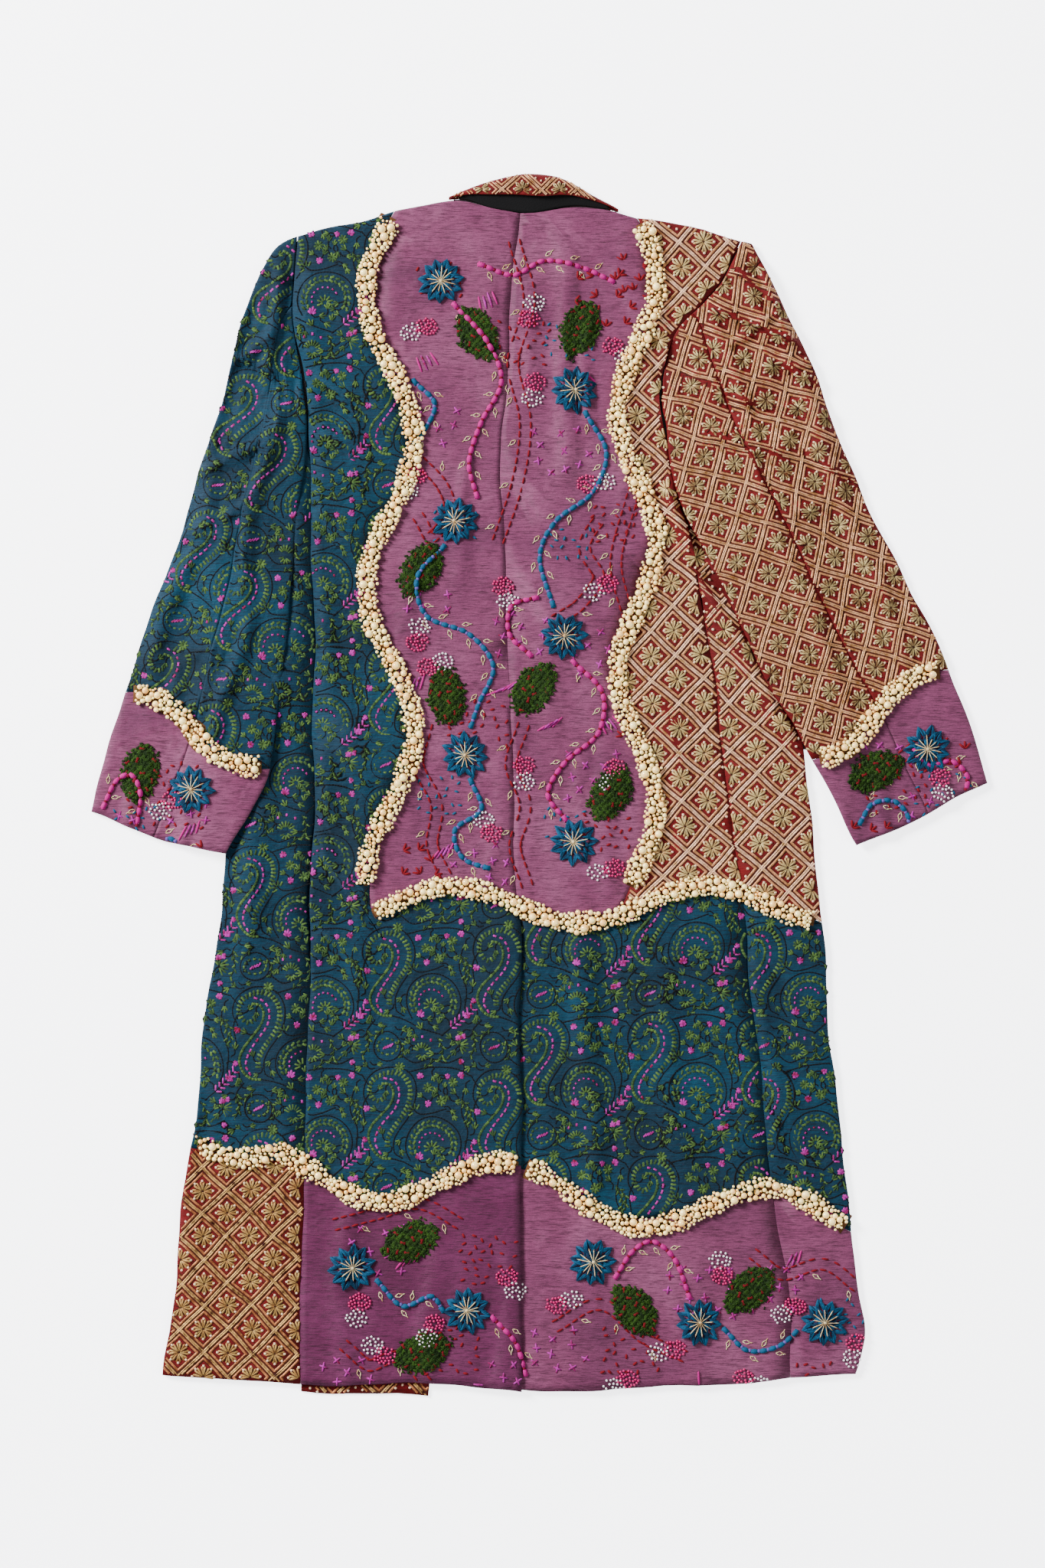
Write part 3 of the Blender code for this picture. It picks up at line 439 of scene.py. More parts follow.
def folded(node, points):
    """The points in metres, raised along the folds that run over this piece, and pulled."""
    x, y, z = (points[:, i] / MM for i in range(3))
    rise, lips = np.zeros(len(points)), np.zeros(len(points))
    for *line, half, height in lines_over(FOLDS, node):
        along, left, _ = beside(x, y, *line)
        bend = FOLD_SWAY * half * np.sin(along * FOLD_WAVES + line[0])
        across = np.clip(np.abs(left + bend) / half, 0, 1)
        rise += FOLD_RISE * height * fading(along) * np.cos(across * 2.6) * (1 - across ** 2) ** 2
    for *line, height, reach, loss in lines_over(CREASES, node):
        along, left, _ = beside(x, y, *line)
        lip = np.where(left > 0, np.exp(-np.maximum(left, 0) / reach),
                       np.clip(1 + left / LIP_DROP, 0, 1))
        target = rise if loss else lips
        target += height * fading(along) * lip
    points[:, 2] += (rise * risen(z, FOLD_FROM, FOLD_WHOLE)
                     + lips * risen(z, LIP_FROM, LIP_WHOLE)) * MM
    points[:, 0], points[:, 1] = (axis * MM for axis in pulled(x, y))
    return points


def placed(name, data):
    """An object of this data, in the scene."""
    made = bpy.data.objects.new(name, data)
    bpy.context.scene.collection.objects.link(made)
    return made


# How often a piece's faces are halved, and the angle from which an edge stays sharp
SUBDIVISIONS, SHARP = 2, math.radians(50)


def cloth_shell(nodes, material):
    """A cloth piece: its solid's form with smooth curves between its facets and crisp cut edges."""
    work = solid_mesh(*nodes)
    crease = work.edges.layers.float.new("crease_edge")
    for edge in work.edges:
        if len(edge.link_faces) == 2 and edge.calc_face_angle() > SHARP:
            edge[crease] = 1.0
    name = "cloth_" + nodes[0]
    mesh = bpy.data.meshes.new(name)
    work.to_mesh(mesh)
    work.free()
    piece = placed(name, mesh)
    finer = piece.modifiers.new("finer", "SUBSURF")
    finer.levels = finer.render_levels = SUBDIVISIONS
    finer.boundary_smooth = "PRESERVE_CORNERS"
    graph = bpy.context.evaluated_depsgraph_get()
    fine = bpy.data.meshes.new_from_object(piece.evaluated_get(graph))
    piece.modifiers.clear()
    points = np.empty(len(fine.vertices) * 3)
    fine.vertices.foreach_get("co", points)
    fine.vertices.foreach_set("co", folded(nodes[0], points.reshape(-1, 3)).ravel())
    fine.update()
    piece.data = fine
    fine.name = name
    fine.materials.clear()
    fine.materials.append(material)
    fine.shade_smooth()
    fine.set_sharp_from_angle(angle=SHARP)
    return piece


# The CAD nodes of each cloth; two that are joined by a plus become one piece
CLOTHS = {
    "paisley_cloth": ["back_left_outer+skirt_left", "skirt_right", "side_left", "side_right_skirt",
                      "front_right", "sleeve_left_inner", "sleeve_left_outer"],
    "plum_silk": ["back_left", "back_right", "hem_left", "hem_right", "side_right_hem",
                  "cuff_left_inner", "cuff_left_outer", "cuff_right_inner", "cuff_right_outer"],
    "lattice_cloth": ["back_right_outer", "side_left_hem", "side_right", "front_left",
                      "sleeve_right_inner", "sleeve_right_outer", "collar"],
    "black_velvet": ["under_collar"],
}
# The plum silk at the hem's left takes a darker copy of its material, as painted shade
SHADED_HEM = "hem_left"


def make_cloths(materials):
    shells = {}
    for cloth, groups in CLOTHS.items():
        for group in groups:
            parts = group.split("+")
            node = parts[0]
            piece = cloth_shell(parts, materials["shaded_hem_silk" if node == SHADED_HEM else cloth])
            shells[node] = piece
            lows, highs = zip(*(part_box(part) for part in parts))
            low = Vector([min(axis) for axis in zip(*lows)])
            high = Vector([max(axis) for axis in zip(*highs)])
            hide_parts(*parts)
            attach(piece, "root")
    return shells


# Rays start above the coat, in metres
DOWN, RAY_START = Vector((0, 0, -1)), 0.1


def ray_down(tree, x, y):
    """The point, normal and face that a ray straight down at (x, y) in metres meets, or Nones."""
    return tree.ray_cast(Vector((x, y, RAY_START)), DOWN)[:3]


class Cover:
    """The coat's cloth from above: the height, the slope and the piece that any place shows."""

    def __init__(self, shells):
        points, faces, self.owner = [], [], []
        for node, piece in shells.items():
            start = len(points)
            points += [v.co.copy() for v in piece.data.vertices]
            for face in piece.data.polygons:
                faces.append([start + i for i in face.vertices])
                self.owner.append(node)
        self.tree = BVHTree.FromPolygons(points, faces)

    def at(self, x, y):
        """The point, normal and node under (x, y) in metres, or three Nones."""
        point, normal, face = ray_down(self.tree, x, y)
        return point, normal, None if point is None else self.owner[face]

    def height(self, x, y):
        """How high the cloth lies here, or the floor where there is none."""
        point = self.at(x, y)[0]
        return 0.0 if point is None else point.z

    def hides(self, x, y):
        """Whether cloth lies over this place, or close to it on both sides of a narrow gap; the floor is
        painted dark as shade at such places.
        """
        if self.at(x, y)[0] is not None:
            return True
        gap = 0.5 * FLOOR_CELL
        pairs = ((gap, 0), (0, gap), (gap, gap), (gap, -gap))
        return any(all(self.at(x + way * u, y + way * v)[0] is not None for way in (-1, 1))
                   for u, v in pairs)


# Least length of a smooth curve's pieces in mm
CURVE_PIECE = 1.5


def curve(points, step):
    """Places (x, y, heading) every step along a smooth curve through points."""
    points = [Vector(p) for p in points]
    ends = [2 * points[0] - points[1]] + points + [2 * points[-1] - points[-2]]
    fine = []
    for a, b, c, d in zip(ends, ends[1:], ends[2:], ends[3:]):
        pieces = max(2, int((c - b).length / CURVE_PIECE))
        for i in range(pieces):
            t = i / pieces
            fine.append(0.5 * (2 * b + (c - a) * t + (2 * a - 5 * b + 4 * c - d) * t * t
                               + (3 * b - a - 3 * c + d) * t ** 3))
    fine.append(points[-1])
    found, left = [], 0.0
    for a, b in zip(fine, fine[1:]):
        length = (b - a).length
        heading = math.atan2(b.y - a.y, b.x - a.x)
        while left <= length and length > 0:
            spot = a.lerp(b, left / length)
            found.append((spot.x, spot.y, heading))
            left += step
        left -= length
    return found


# The share of the green stitches that are of the darker thread
DARK_STITCHES = 0.35


class Pen:
    """Marks of thread, gathered by colour: x, y, heading, length, width, height, lift in mm."""

    def __init__(self):
        self.marks = {}
        self.set()

    def set(self, x=0.0, y=0.0, turn=0.0, scale=1.0):
        self.x, self.y, self.turn, self.scale = x, y, turn, scale

    def mark(self, ink, x, y, heading, length, width, height=0.7, lift=0.0):
        if ink == "green" and random.random() < DARK_STITCHES:
            ink = "green_dark"
        c, s = math.cos(self.turn) * self.scale, math.sin(self.turn) * self.scale
        self.marks.setdefault(ink, []).append(
            (self.x + c * x - s * y, self.y + s * x + c * y, heading + self.turn,
             length * self.scale, width * self.scale, height, lift))

    def lay(self, node):
        """The marks move to where this node's cloth lies."""
        for ink, marks in self.marks.items():
            spots = zip(*laid_at(node, *np.array([mark[:2] for mark in marks]).T))
            self.marks[ink] = [(x, y, *mark[2:]) for (x, y, kept), mark in zip(spots, marks) if kept]

    def line(self, ink, points, length, width, gap=-0.8, height=0.7):
        """Stitches one after another along a curve."""
        for x, y, heading in curve(points, length + gap):
            self.mark(ink, x, y, heading + random.uniform(-0.06, 0.06),
                      length * random.uniform(0.9, 1.1), width, height)

    def ladder(self, ink, points, step, length, width):
        """Slanted stitches side by side along a curve."""
        for x, y, heading in curve(points, step):
            self.mark(ink, x, y, heading + 1.35 + random.uniform(-0.15, 0.15),
                      length * random.uniform(0.85, 1.15), width, 0.8)

    def fan(self, ink, x, y, start, end, count, inner, outer, width):
        """Stitches that spread out from (x, y), between two angles in degrees."""
        for i in range(count):
            angle = math.radians(mix(start, end, i / max(1, count - 1)))
            self.mark(ink, *polar((inner + outer) / 2, angle, x, y), angle, outer - inner, width, 0.8)

    def leaf(self, ink, x, y, angle, length, width, height=0.9):
        """A stitch that starts at (x, y), at an angle in degrees."""
        a = math.radians(angle)
        self.mark(ink, *polar(length / 2, a, x, y), a, length, width, height)


# A mark's cross-sections: share of its length, share of its width and of its height
SPINDLE = ((-0.5, 0.0), (-0.34, 1.0), (0.34, 1.0), (0.5, 0.0))
BEAN = ((-0.5, 0.0), (-0.41, 0.72), (0.0, 1.0), (0.41, 0.72), (0.5, 0.0))
LOZENGE = ((-0.5, 0.0), (0.0, 1.0), (0.5, 0.0))


def mark_form(stations, across):
    """Unit vertices and faces of a mark that lies along X: half a spindle over its cloth."""
    points, faces = [], []
    for along, size in stations:
        for i in range(across if size else 1):
            turn = math.pi * (i / (across - 1)) if size else 0.0
            points.append((along, 0.5 * size * math.cos(turn), size * math.sin(turn)))
    rows = len(stations) - 2
    for i in range(across - 1):
        faces.append((0, 1 + i + 1, 1 + i))
        for row in range(rows - 1):
            a, b = 1 + row * across + i, 1 + (row + 1) * across + i
            faces.append((a, a + 1, b + 1))
            faces.append((a, b + 1, b))
        a = 1 + (rows - 1) * across + i
        faces.append((a, a + 1, 1 + rows * across))
    return np.array(points), np.array(faces)


FORMS = {"spindle": mark_form(SPINDLE, 3), "bean": mark_form(BEAN, 4),
         "lozenge": mark_form(LOZENGE, 3)}
# How far a mark is sunk into its cloth, in mm, and the share of its length, each way from its
# middle, that has to lie on its cloth
DEPTH, OVERHANG = 0.25, 0.45


def joined(parts):
    """The (points, triangles) parts as one."""
    points, faces, start = [], [], 0
    for p, f in parts:
        points.append(p)
        faces.append(f + start)
        start += len(p)
    return np.concatenate(points), np.concatenate(faces)


def build_mesh(name, parts):
    """One object from (points, triangles, material) parts."""
    mesh = bpy.data.meshes.new(name)
    points, faces = joined([part[:2] for part in parts])
    slots = np.concatenate([np.full(len(part[1]), number) for number, part in enumerate(parts)])
    for part in parts:
        mesh.materials.append(part[2])
    mesh.vertices.add(len(points))
    mesh.vertices.foreach_set("co", points.astype(np.float32).ravel())
    mesh.loops.add(faces.size)
    mesh.loops.foreach_set("vertex_index", faces.astype(np.int32).ravel())
    mesh.polygons.add(len(faces))
    mesh.polygons.foreach_set("loop_start", np.arange(0, faces.size, 3, dtype=np.int32))
    mesh.polygons.foreach_set("material_index", slots.astype(np.int32))
    mesh.update(calc_edges=True)
    mesh.shade_smooth()
    piece = placed(name, mesh)
    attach(piece, "root")
    return piece


# The least height of the cloth's unit normal for a mark to lie on it, and for a cord
MARK_UPRIGHT, CORD_UPRIGHT = 0.35, 0.3


def laid_marks(marks, cover, allowed):
    """A row for each mark on the allowed nodes: place, ahead, side, up, length, width, height."""
    found = []
    for x, y, heading, length, width, height, lift in marks:
        place, normal, node = cover.at(x * MM, y * MM)
        if node not in allowed or normal.z < MARK_UPRIGHT:
            continue
        u, v = (OVERHANG * length * f(heading) * MM for f in (math.cos, math.sin))
        if any(cover.at(x * MM + way * u, y * MM + way * v)[2] not in allowed for way in (-1, 1)):
            continue
        ahead = Vector((math.cos(heading), math.sin(heading), 0))
        ahead = (ahead - normal * ahead.dot(normal)).normalized()
        side = normal.cross(ahead)
        found.append((*(place + normal * (lift - DEPTH) * MM), *ahead, *side, *normal,
                      length * MM, width * MM, (height + DEPTH) * MM))
    return np.array(found)


def copies(points, faces):
    """All points and triangles of a form's copies, whose points are [copy, vertex, axis]."""
    starts = np.arange(len(points)) * points.shape[1]
    return points.reshape(-1, 3), (faces[None] + starts[:, None, None]).reshape(-1, 3)


def formed(rows, form):
    """Points and triangles of the rows' marks."""
    unit, faces = FORMS[form]
    places, ahead, side, up = (rows[:, None, i:i + 3] for i in (0, 3, 6, 9))
    sizes = rows[:, None, 12:15] * unit[None]
    return copies(places + sizes[:, :, :1] * ahead + sizes[:, :, 1:2] * side + sizes[:, :, 2:] * up,
                  faces)


# How much longer and wider than a stitch its dark outline is, and its height over the cloth, in mm;
# the outline is partly painted shade round the stitch
OUTLINE_AND_SHADE = (3.2, 3.2, 0.34)


def sew(name, pen, cover, allowed, threads, form="spindle", outlined_and_shaded=()):
    """The pen's marks as one piece, with a material for each ink; None if no mark is on its cloth."""
    parts, dark = [], []
    for ink, marks in pen.marks.items():
        rows = laid_marks(marks, cover, allowed)
        if not len(rows):
            continue
        parts.append((*formed(rows, form), threads[ink]))
        if ink in outlined_and_shaded:
            rows = rows.copy()
            rows[:, 12] += OUTLINE_AND_SHADE[0] * MM
            rows[:, 13] += OUTLINE_AND_SHADE[1] * MM
            rows[:, 14] = (OUTLINE_AND_SHADE[2] + DEPTH) * MM
            dark.append(rows)
    # Navy lozenges under the outlined stitches: dark outlines, partly painted shade round them
    if dark:
        parts.append((*formed(np.concatenate(dark), "lozenge"), threads["navy"]))
    if not parts:
        return None
    piece = build_mesh(name, parts)
    return piece


def ball(steps):
    """A unit sphere's points and triangles, finer with more steps."""
    work = bmesh.new()
    bmesh.ops.create_icosphere(work, subdivisions=steps, radius=1.0)
    points = np.array([v.co[:] for v in work.verts])
    faces = np.array([[v.index for v in f.verts] for f in work.faces])
    work.free()
    return points, faces


def balls(places, form):
    """Points and triangles of (x, y, z, radius) balls in metres."""
    unit, faces = form
    data = np.array(places)
    return copies(data[:, None, :3] + unit[None] * data[:, None, 3:4], faces)


# Paisley motifs, in mm from a unit's curl: the large motif's middle row of stitches, the dashes
# beside it, the slanted stitches round it and its outline
SPINE = (
    (-5, 11), (1, 9.5), (4.5, 2), (2, -9), (-7, -21), (-16, -32), (-19.5, -43), (-15.5, -54), (-7, -61),
    (3, -62),
)
DASHES = (
    (-3, 16.5), (4, 14), (9, 7), (10, -2), (7, -12), (0, -22), (-7, -31), (-12, -41), (-12.5, -49),
    (-8, -57),
)
RUNGS = (
    (-4, -3), (-9, -7), (-15, -4), (-18.5, 4), (-16, 14), (-8, 20), (3, 22.5), (13, 18.5), (19.5, 8),
    (20, -5), (14, -19), (6, -31), (0, -42), (0, -53),
)
RIM = (
    (-20, -9), (-24, 2), (-21, 16), (-11, 25.5), (3, 28), (17, 23), (25, 10), (25, -6), (19, -21),
    (11, -33), (6, -44), (7, -56), (14, -61),
)


def arc(x, y, radius, start, end, count=9):
    return [polar(radius, math.radians(mix(start, end, i / (count - 1))), x, y)
            for i in range(count)]


def rosette(pen, x, y):
    for i in range(8):
        pen.leaf("green", x, y, 45 * i + 10, 5.5, 2.2)


def bud(pen, x, y, angle, size):
    for lean, share in ((0, 1.0), (-28, 0.85), (28, 0.85), (-60, 0.6), (60, 0.6)):
        pen.leaf("magenta", x, y, angle + lean, size * share, 2.3)


def tuft(pen, x, y, angle, size):
    for lean in (-30, 0, 30):
        pen.leaf("green", x, y, angle + lean, size * (1 - abs(lean) / 160), 1.8)


def vine(pen, points, stitch=3.8):
    pen.line("navy", points, stitch, 1.1, height=0.6)


def spray(pen, points, side):
    """A bent twig with leaves along it."""
    pen.line("green_dark", points, 3.4, 0.8)
    for number, (x, y, heading) in enumerate(curve(points, 4.2)):
        lean = 42 if number % 2 else -42
        pen.leaf("green", x, y, math.degrees(heading) + lean * side, 5.2, 1.9)


# Nearly a quarter turn, by which stitches cross a curve
ACROSS = 1.57


def paisley_unit(pen):
    pen.line("green", SPINE, 4.2, 2.7, height=1.0)
    pen.line("magenta", DASHES, 4.8, 2.2, gap=1.4, height=0.9)
    pen.ladder("green", RUNGS, 3.9, 6.2, 2.5)
    vine(pen, RIM)
    # The wreath beside it
    x, y = 45, -47
    vine(pen, arc(x, y, 27, 215, -35, 15))
    for i in range(17):
        angle = math.radians(mix(205, -28, i / 16))
        for reach, lean in ((22.5, 0.5), (18.5, -0.4)):
            pen.mark("green", *polar(reach, angle, x, y), angle + ACROSS + lean, 5.4, 2.6, 0.8)
    pen.line("magenta", arc(x - 1, y - 1, 12.5, 190, 10), 2.6, 1.9, gap=2.4, height=0.9)
    pen.fan("green", x - 1, y - 4, 200, -20, 7, 1.5, 8.5, 2.0)
    bud(pen, x - 13, y - 15, 80, 8)
    tuft(pen, x + 5, y - 22, 80, 8)
    tuft(pen, x - 12, y - 27, 120, 9)
    # Leaves on a slanted stem, in the bright thread
    vine(pen, ((52, -80), (62, -72), (74, -62), (82, -54)))
    for u, v, heading in curve(((62, -72), (74, -62), (84, -52)), 5.4):
        for lean in (48, -48):
            pen.leaf("magenta", u, v, math.degrees(heading) + lean, 6.8, 1.9)
    # The medallion
    for i in range(12):
        angle = 2 * math.pi * i / 12
        pen.mark("green", -2 + 10.5 * math.cos(angle), -91 + 7.5 * math.sin(angle), angle + ACROSS,
                 3.6, 2.2, 0.8)
    for i in range(4):
        pen.mark("magenta", -5 + 2.4 * i, -92.2 + 0.9 * i, 0.75, 5.6, 1.9, 1.0)
    vine(pen, arc(-2, -91, 14, 0, 360, 17), 3.4)
    # Fans, rosettes and buds
    for u, v, start, end, count, inner, outer in (
            (32, -97, 25, 155, 7, 3, 10), (32, -100, 200, 340, 5, 1, 7), (69, -90, -70, 30, 5, 1, 11),
            (26, -16, 60, 210, 5, 2, 8.5)):
        pen.fan("green", u, v, start, end, count, inner, outer, 2.0)
    for u, v in ((25, -86), (33, -83.5), (41, -87)):
        pen.leaf("magenta", u, v, 90, 3.4, 2.4)
    for u, v in ((37, 7), (63, 13), (51, -5), (10, -112)):
        rosette(pen, u, v)
    for u, v, angle in ((69, -85, 100), (30, 16, 110), (70, 18, 60), (36, -9, 20), (88, -12, 250),
                        (-30, -62, 80)):
        bud(pen, u, v, angle, 6.5)
    # Vines
    for points in (
            ((4, -62), (18, -66), (34, -74), (52, -80)), ((18, 22), (40, 27), (64, 26), (82, 20)),
            ((22, -12), (30, -18), (42, -17), (56, -12)), ((-34, 4), (-36, -14), (-30, -34), (-32, -52)),
            ((82, 20), (90, 6), (84, -10), (86, -30)), ((-16, -66), (-24, -76), (-22, -88)),
            ((12, -100), (24, -108), (40, -104), (56, -108), (72, -102))):
        vine(pen, points)
    for points, side in (
            (((10, -84), (14, -92), (12, -102)), 1), (((48, -84), (52, -94), (50, -104)), -1),
            (((-34, -6), (-30, -18), (-32, -30)), 1), (((34, 26), (44, 34), (58, 36)), -1),
            (((72, -2), (80, -12), (80, -26)), 1), (((-4, -72), (-14, -80), (-26, -82)), 1),
            (((84, -76), (86, -90), (80, -102)), -1)):
        spray(pen, points, side)


# Least room in mm for a sprig of the filling, how many places are tried, and the share of buds
SPRIG_ROOM, SPRIG_TRIES, BUD_SHARE = 5.4, 1700, 0.14


def fill_unit(pen):
    """Small sprigs on short vines, wherever a unit that repeats is still bare."""
    width, height = PAISLEY_STEP
    taken = [(m[0] % width, m[1] % height) for marks in pen.marks.values() for m in marks]
    for _ in range(SPRIG_TRIES):
        x, y = random.uniform(0, width), random.uniform(0, height)
        gaps = (math.hypot((x - u + width / 2) % width - width / 2,
                           (y - v + height / 2) % height - height / 2) for u, v in taken)
        if min(gaps) < SPRIG_ROOM:
            continue
        taken.append((x, y))
        angle = random.uniform(0, 360)
        if random.random() < BUD_SHARE:
            bud(pen, x, y, angle, 5.2)
        else:
            tuft(pen, x, y, angle, random.uniform(6.2, 8.4))
        back = math.radians(angle + 180)
        bend = back + random.choice((-0.9, 0.9))
        root = polar(4, back, x, y)
        vine(pen, [(x, y), root, polar(5, bend, *root)], 3.2)


# How far apart the units repeat, in mm, and how much wider than drawn the stitches and vines are
PAISLEY_STEP = (107.6, 139.6)
PAISLEY_WEIGHT, LINE_WEIGHT = 1.2, 1.7
# The threads whose stitches have a dark outline, partly painted shade round them
PAISLEY_INKS = ("green", "green_dark", "magenta")
# The columns and rows of units that are tried, and how far a unit reaches from its place, in mm
UNIT_COLUMNS, UNIT_ROWS = range(-7, 8), range(-9, 10)
UNIT_RIGHT, UNIT_LEFT, UNIT_UP, UNIT_DOWN = 90, 40, 40, 120
# Node: a unit's place in plan mm, turn, region x0, y0, x1, y1
PAISLEY_AREAS = {
    "back_left_outer": (-149.7, -168, 0, (-320, -480, 20, 620)),
    "skirt_right": (3.5, -255, 0, (-20, -480, 340, -60)),
    "side_left": (-296, 330, 0.03, (-460, -560, -180, 620)),
    "side_right_skirt": (219, -166, 0.05, (180, -500, 400, -40)),
    "sleeve_left_inner": (-262, 330, -0.22, (-460, -40, -160, 640)),
    "sleeve_left_outer": (-330, 250, -0.28, (-480, -60, -160, 640)),
    "front_right": (40, -500, 0, (-460, -620, 60, -300)),
}


def make_paisley(cover, threads):
    unit = Pen()
    paisley_unit(unit)
    fill_unit(unit)
    for node, (x, y, turn, (x0, y0, x1, y1)) in PAISLEY_AREAS.items():
        pen = Pen()
        c, s = math.cos(turn), math.sin(turn)
        for i, j in itertools.product(UNIT_COLUMNS, UNIT_ROWS):
            u, v = i * PAISLEY_STEP[0], j * PAISLEY_STEP[1]
            left, base = x + c * u - s * v, y + s * u + c * v
            if not (x0 - UNIT_RIGHT < left < x1 + UNIT_LEFT and y0 - UNIT_UP < base < y1 + UNIT_DOWN):
                continue
            for ink, marks in unit.marks.items():
                weight = LINE_WEIGHT if ink == "navy" else PAISLEY_WEIGHT
                for u, v, heading, length, width, height, lift in marks:
                    pen.marks.setdefault(ink, []).append(
                        (left + c * u - s * v, base + s * u + c * v,
                         heading + turn + random.uniform(-0.07, 0.07),
                         length * random.uniform(0.9, 1.08), width * weight, height, lift))
        pen.lay(node)
        sew("stitches_" + node, pen, cover, {node}, threads, outlined_and_shaded=PAISLEY_INKS)


# Node: a crossing's place in plan mm, the two lines' headings in degrees and their spacing in mm
LATTICE_AREAS = {
    "side_right": (200, 300, 47, -41, 34.5),
    "back_right_outer": (200, 300, 47, -41, 34.5),
    "sleeve_right_inner": (300, 300, 74, -17, 31),
    "sleeve_right_outer": (320, 300, 80, -19, 31),
    "side_left_hem": (-380, -470, 45, -45, 33),
    "front_left": (-300, -560, 45, -45, 33),
    "collar": (0, 590, 42, -40, 25),
}
# Where the brocade is bronze, and where its pale threads are warmer
BRONZE_AREAS = ("side_left_hem", "front_left")
WARM_AREAS = ("sleeve_right_inner", "sleeve_right_outer", "collar")
# How far apart a cord's sections are and how far they are sunk, in mm, and how many points each has
CORD_STEP, CORD_SINK, CORD_SIDES = 4.0, 0.1, 5


def cord_strip(points, normals, width, height):
    """A raised half-round strip through points."""
    points, normals = np.array(points), np.array(normals)
    ahead = np.gradient(points, axis=0)
    side = np.cross(normals, ahead)
    side /= np.linalg.norm(side, axis=1)[:, None]
    rows = []
    for i in range(CORD_SIDES):
        turn = math.pi * i / (CORD_SIDES - 1)
        rows.append(points + side * width * MM * 0.5 * math.cos(turn)
                    + normals * (height * math.sin(turn) - CORD_SINK) * MM)
    grid = np.stack(rows, axis=1)
    a = (np.arange(len(points) - 1)[:, None] * CORD_SIDES + np.arange(CORD_SIDES - 1)[None]).ravel()
    b = a + CORD_SIDES
    faces = np.concatenate([np.stack([a, a + 1, b + 1], 1), np.stack([a, b + 1, b], 1)])
    return grid.reshape(-1, 3), faces


# Offset from a line's middle, width, height and thread of each cord; the last ones close in
# squares round the rosettes, so they stop where they meet the other lines
CROSSING_CORDS = ((-0.85, 1.7, 1.3, "pink_gold"), (0.85, 1.7, 1.3, "pink_gold"),
                  (-2.4, 1.3, 0.35, "brown"), (2.4, 1.3, 0.35, "brown"))
SQUARE_CORDS = ((4.2, 2.4, 0.9, "rose_gold"), (5.8, 0.7, 0.35, "brown"))
# The threads that take the pale ones' place there
WARM_INKS = {"pink_gold": "warm_gold", "olive_gold": "dark_olive"}
BRONZE_INKS = {"pink_gold": "bronze", "rose_gold": "rose_bronze", "olive_gold": "dull_gold"}
# The lattice's spacing in mm for which its cords and rosettes are drawn
DRAWN_STEP = 33.0


def lattice_runs(cover, node, pieces, base, ahead, offset):
    """Runs of points and normals along a lattice line's pieces, where they show on this node."""
    side = Vector((-ahead.y, ahead.x))
    for piece in pieces:
        run, up = [], []
        start = base + side * offset
        for x, y, kept in zip(*laid_at(node, start.x + ahead.x * piece, start.y + ahead.y * piece)):
            place, normal, owner = cover.at(x * MM, y * MM) if kept else (None, None, None)
            if owner == node and normal.z > CORD_UPRIGHT:
                run.append(place[:])
                up.append(normal[:])
                continue
            if len(run) > 1:
                yield run, up
            run, up = [], []
        if len(run) > 1:
            yield run, up


# Points along one side of a square
SQUARE_STEPS = 7


def line_pieces(ahead, other, offset, stop, step, first, last):
    """Places along a line: one run of them, or one for each side of a square."""
    if stop is None:
        return [np.arange(first, last, CORD_STEP)]
    slope = ahead.dot(other)
    lean = Vector((-ahead.y, ahead.x)).dot(other) * offset
    ends = sorted(((first * slope + lean) / step, (last * slope + lean) / step))
    return [np.linspace((m * step + stop - lean) / slope, ((m + 1) * step - stop - lean) / slope,
                        SQUARE_STEPS) for m in range(math.floor(ends[0]), math.ceil(ends[1]))]


def lattice_cords(cover, node, inks, cords, area, inward, reach):
    """The cords of the lines of both headings, by thread."""
    x, y, first, second, step = area
    base = Vector((x, y))
    strips = {}
    a, b = math.radians(first), math.radians(second)
    for heading, crossing in ((a, b), (b, a)):
        ahead = Vector(polar(1, heading))
        other = Vector((-math.sin(crossing), math.cos(crossing)))
        start = inward.dot(ahead) - reach / 2
        nearest = round(inward.dot(Vector((-ahead.y, ahead.x))) / step)
        count = int(reach / 2 / step) + 1
        for number in range(nearest - count, nearest + count + 1):
            for shift, width, height, ink, stop in cords:
                offset = number * step + shift
                pieces = line_pieces(ahead, other, offset, stop, step, start, start + reach)
                for run, up in lattice_runs(cover, node, pieces, base, ahead, offset):
                    strips.setdefault(inks.get(ink, ink), []).append(cord_strip(run, up, width, height))
    return strips


def make_lattice(cover, threads):
    for node, area in LATTICE_AREAS.items():
        x, y, first, second, step = area
        low, high = (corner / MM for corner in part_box(node))
        inks = BRONZE_INKS if node in BRONZE_AREAS else WARM_INKS if node in WARM_AREAS else {}
        reach = (high - low).length
        base = Vector((x, y))
        inward = ((low + high) / 2).xy - base
        size = step / DRAWN_STEP
        cords = [(shift * size, width * size, height, ink, None)
                 for shift, width, height, ink in CROSSING_CORDS]
        cords += [(way * shift * size, width * size, height, ink, (shift - 0.5) * size)
                  for shift, width, height, ink in SQUARE_CORDS for way in (-1, 1)]
        strips = lattice_cords(cover, node, inks, cords, area, inward, reach)
        parts = [(*joined(found), threads[ink]) for ink, found in strips.items()]
        build_mesh("cords_" + node, parts)
        pen = Pen()
        a, b = math.radians(first), math.radians(second)
        spread = step / abs(math.sin(a - b))
        along, across = (Vector(polar(1, turn)) * spread for turn in (a, b))
        count = 2 * int(reach / spread) + 4
        for i, j in itertools.product(range(-count, count), repeat=2):
            spot = base + along * (i + 0.5) + across * (j + 0.5)
            if low.x - step < spot.x < high.x + step and low.y - step < spot.y < high.y + step:
                pen.set(*spot, (a + b) / 2, size)
                lattice_rosette(pen, inks.get("olive_gold", "olive_gold"))
        pen.lay(node)
        sew("rosettes_" + node, pen, cover, {node}, threads)


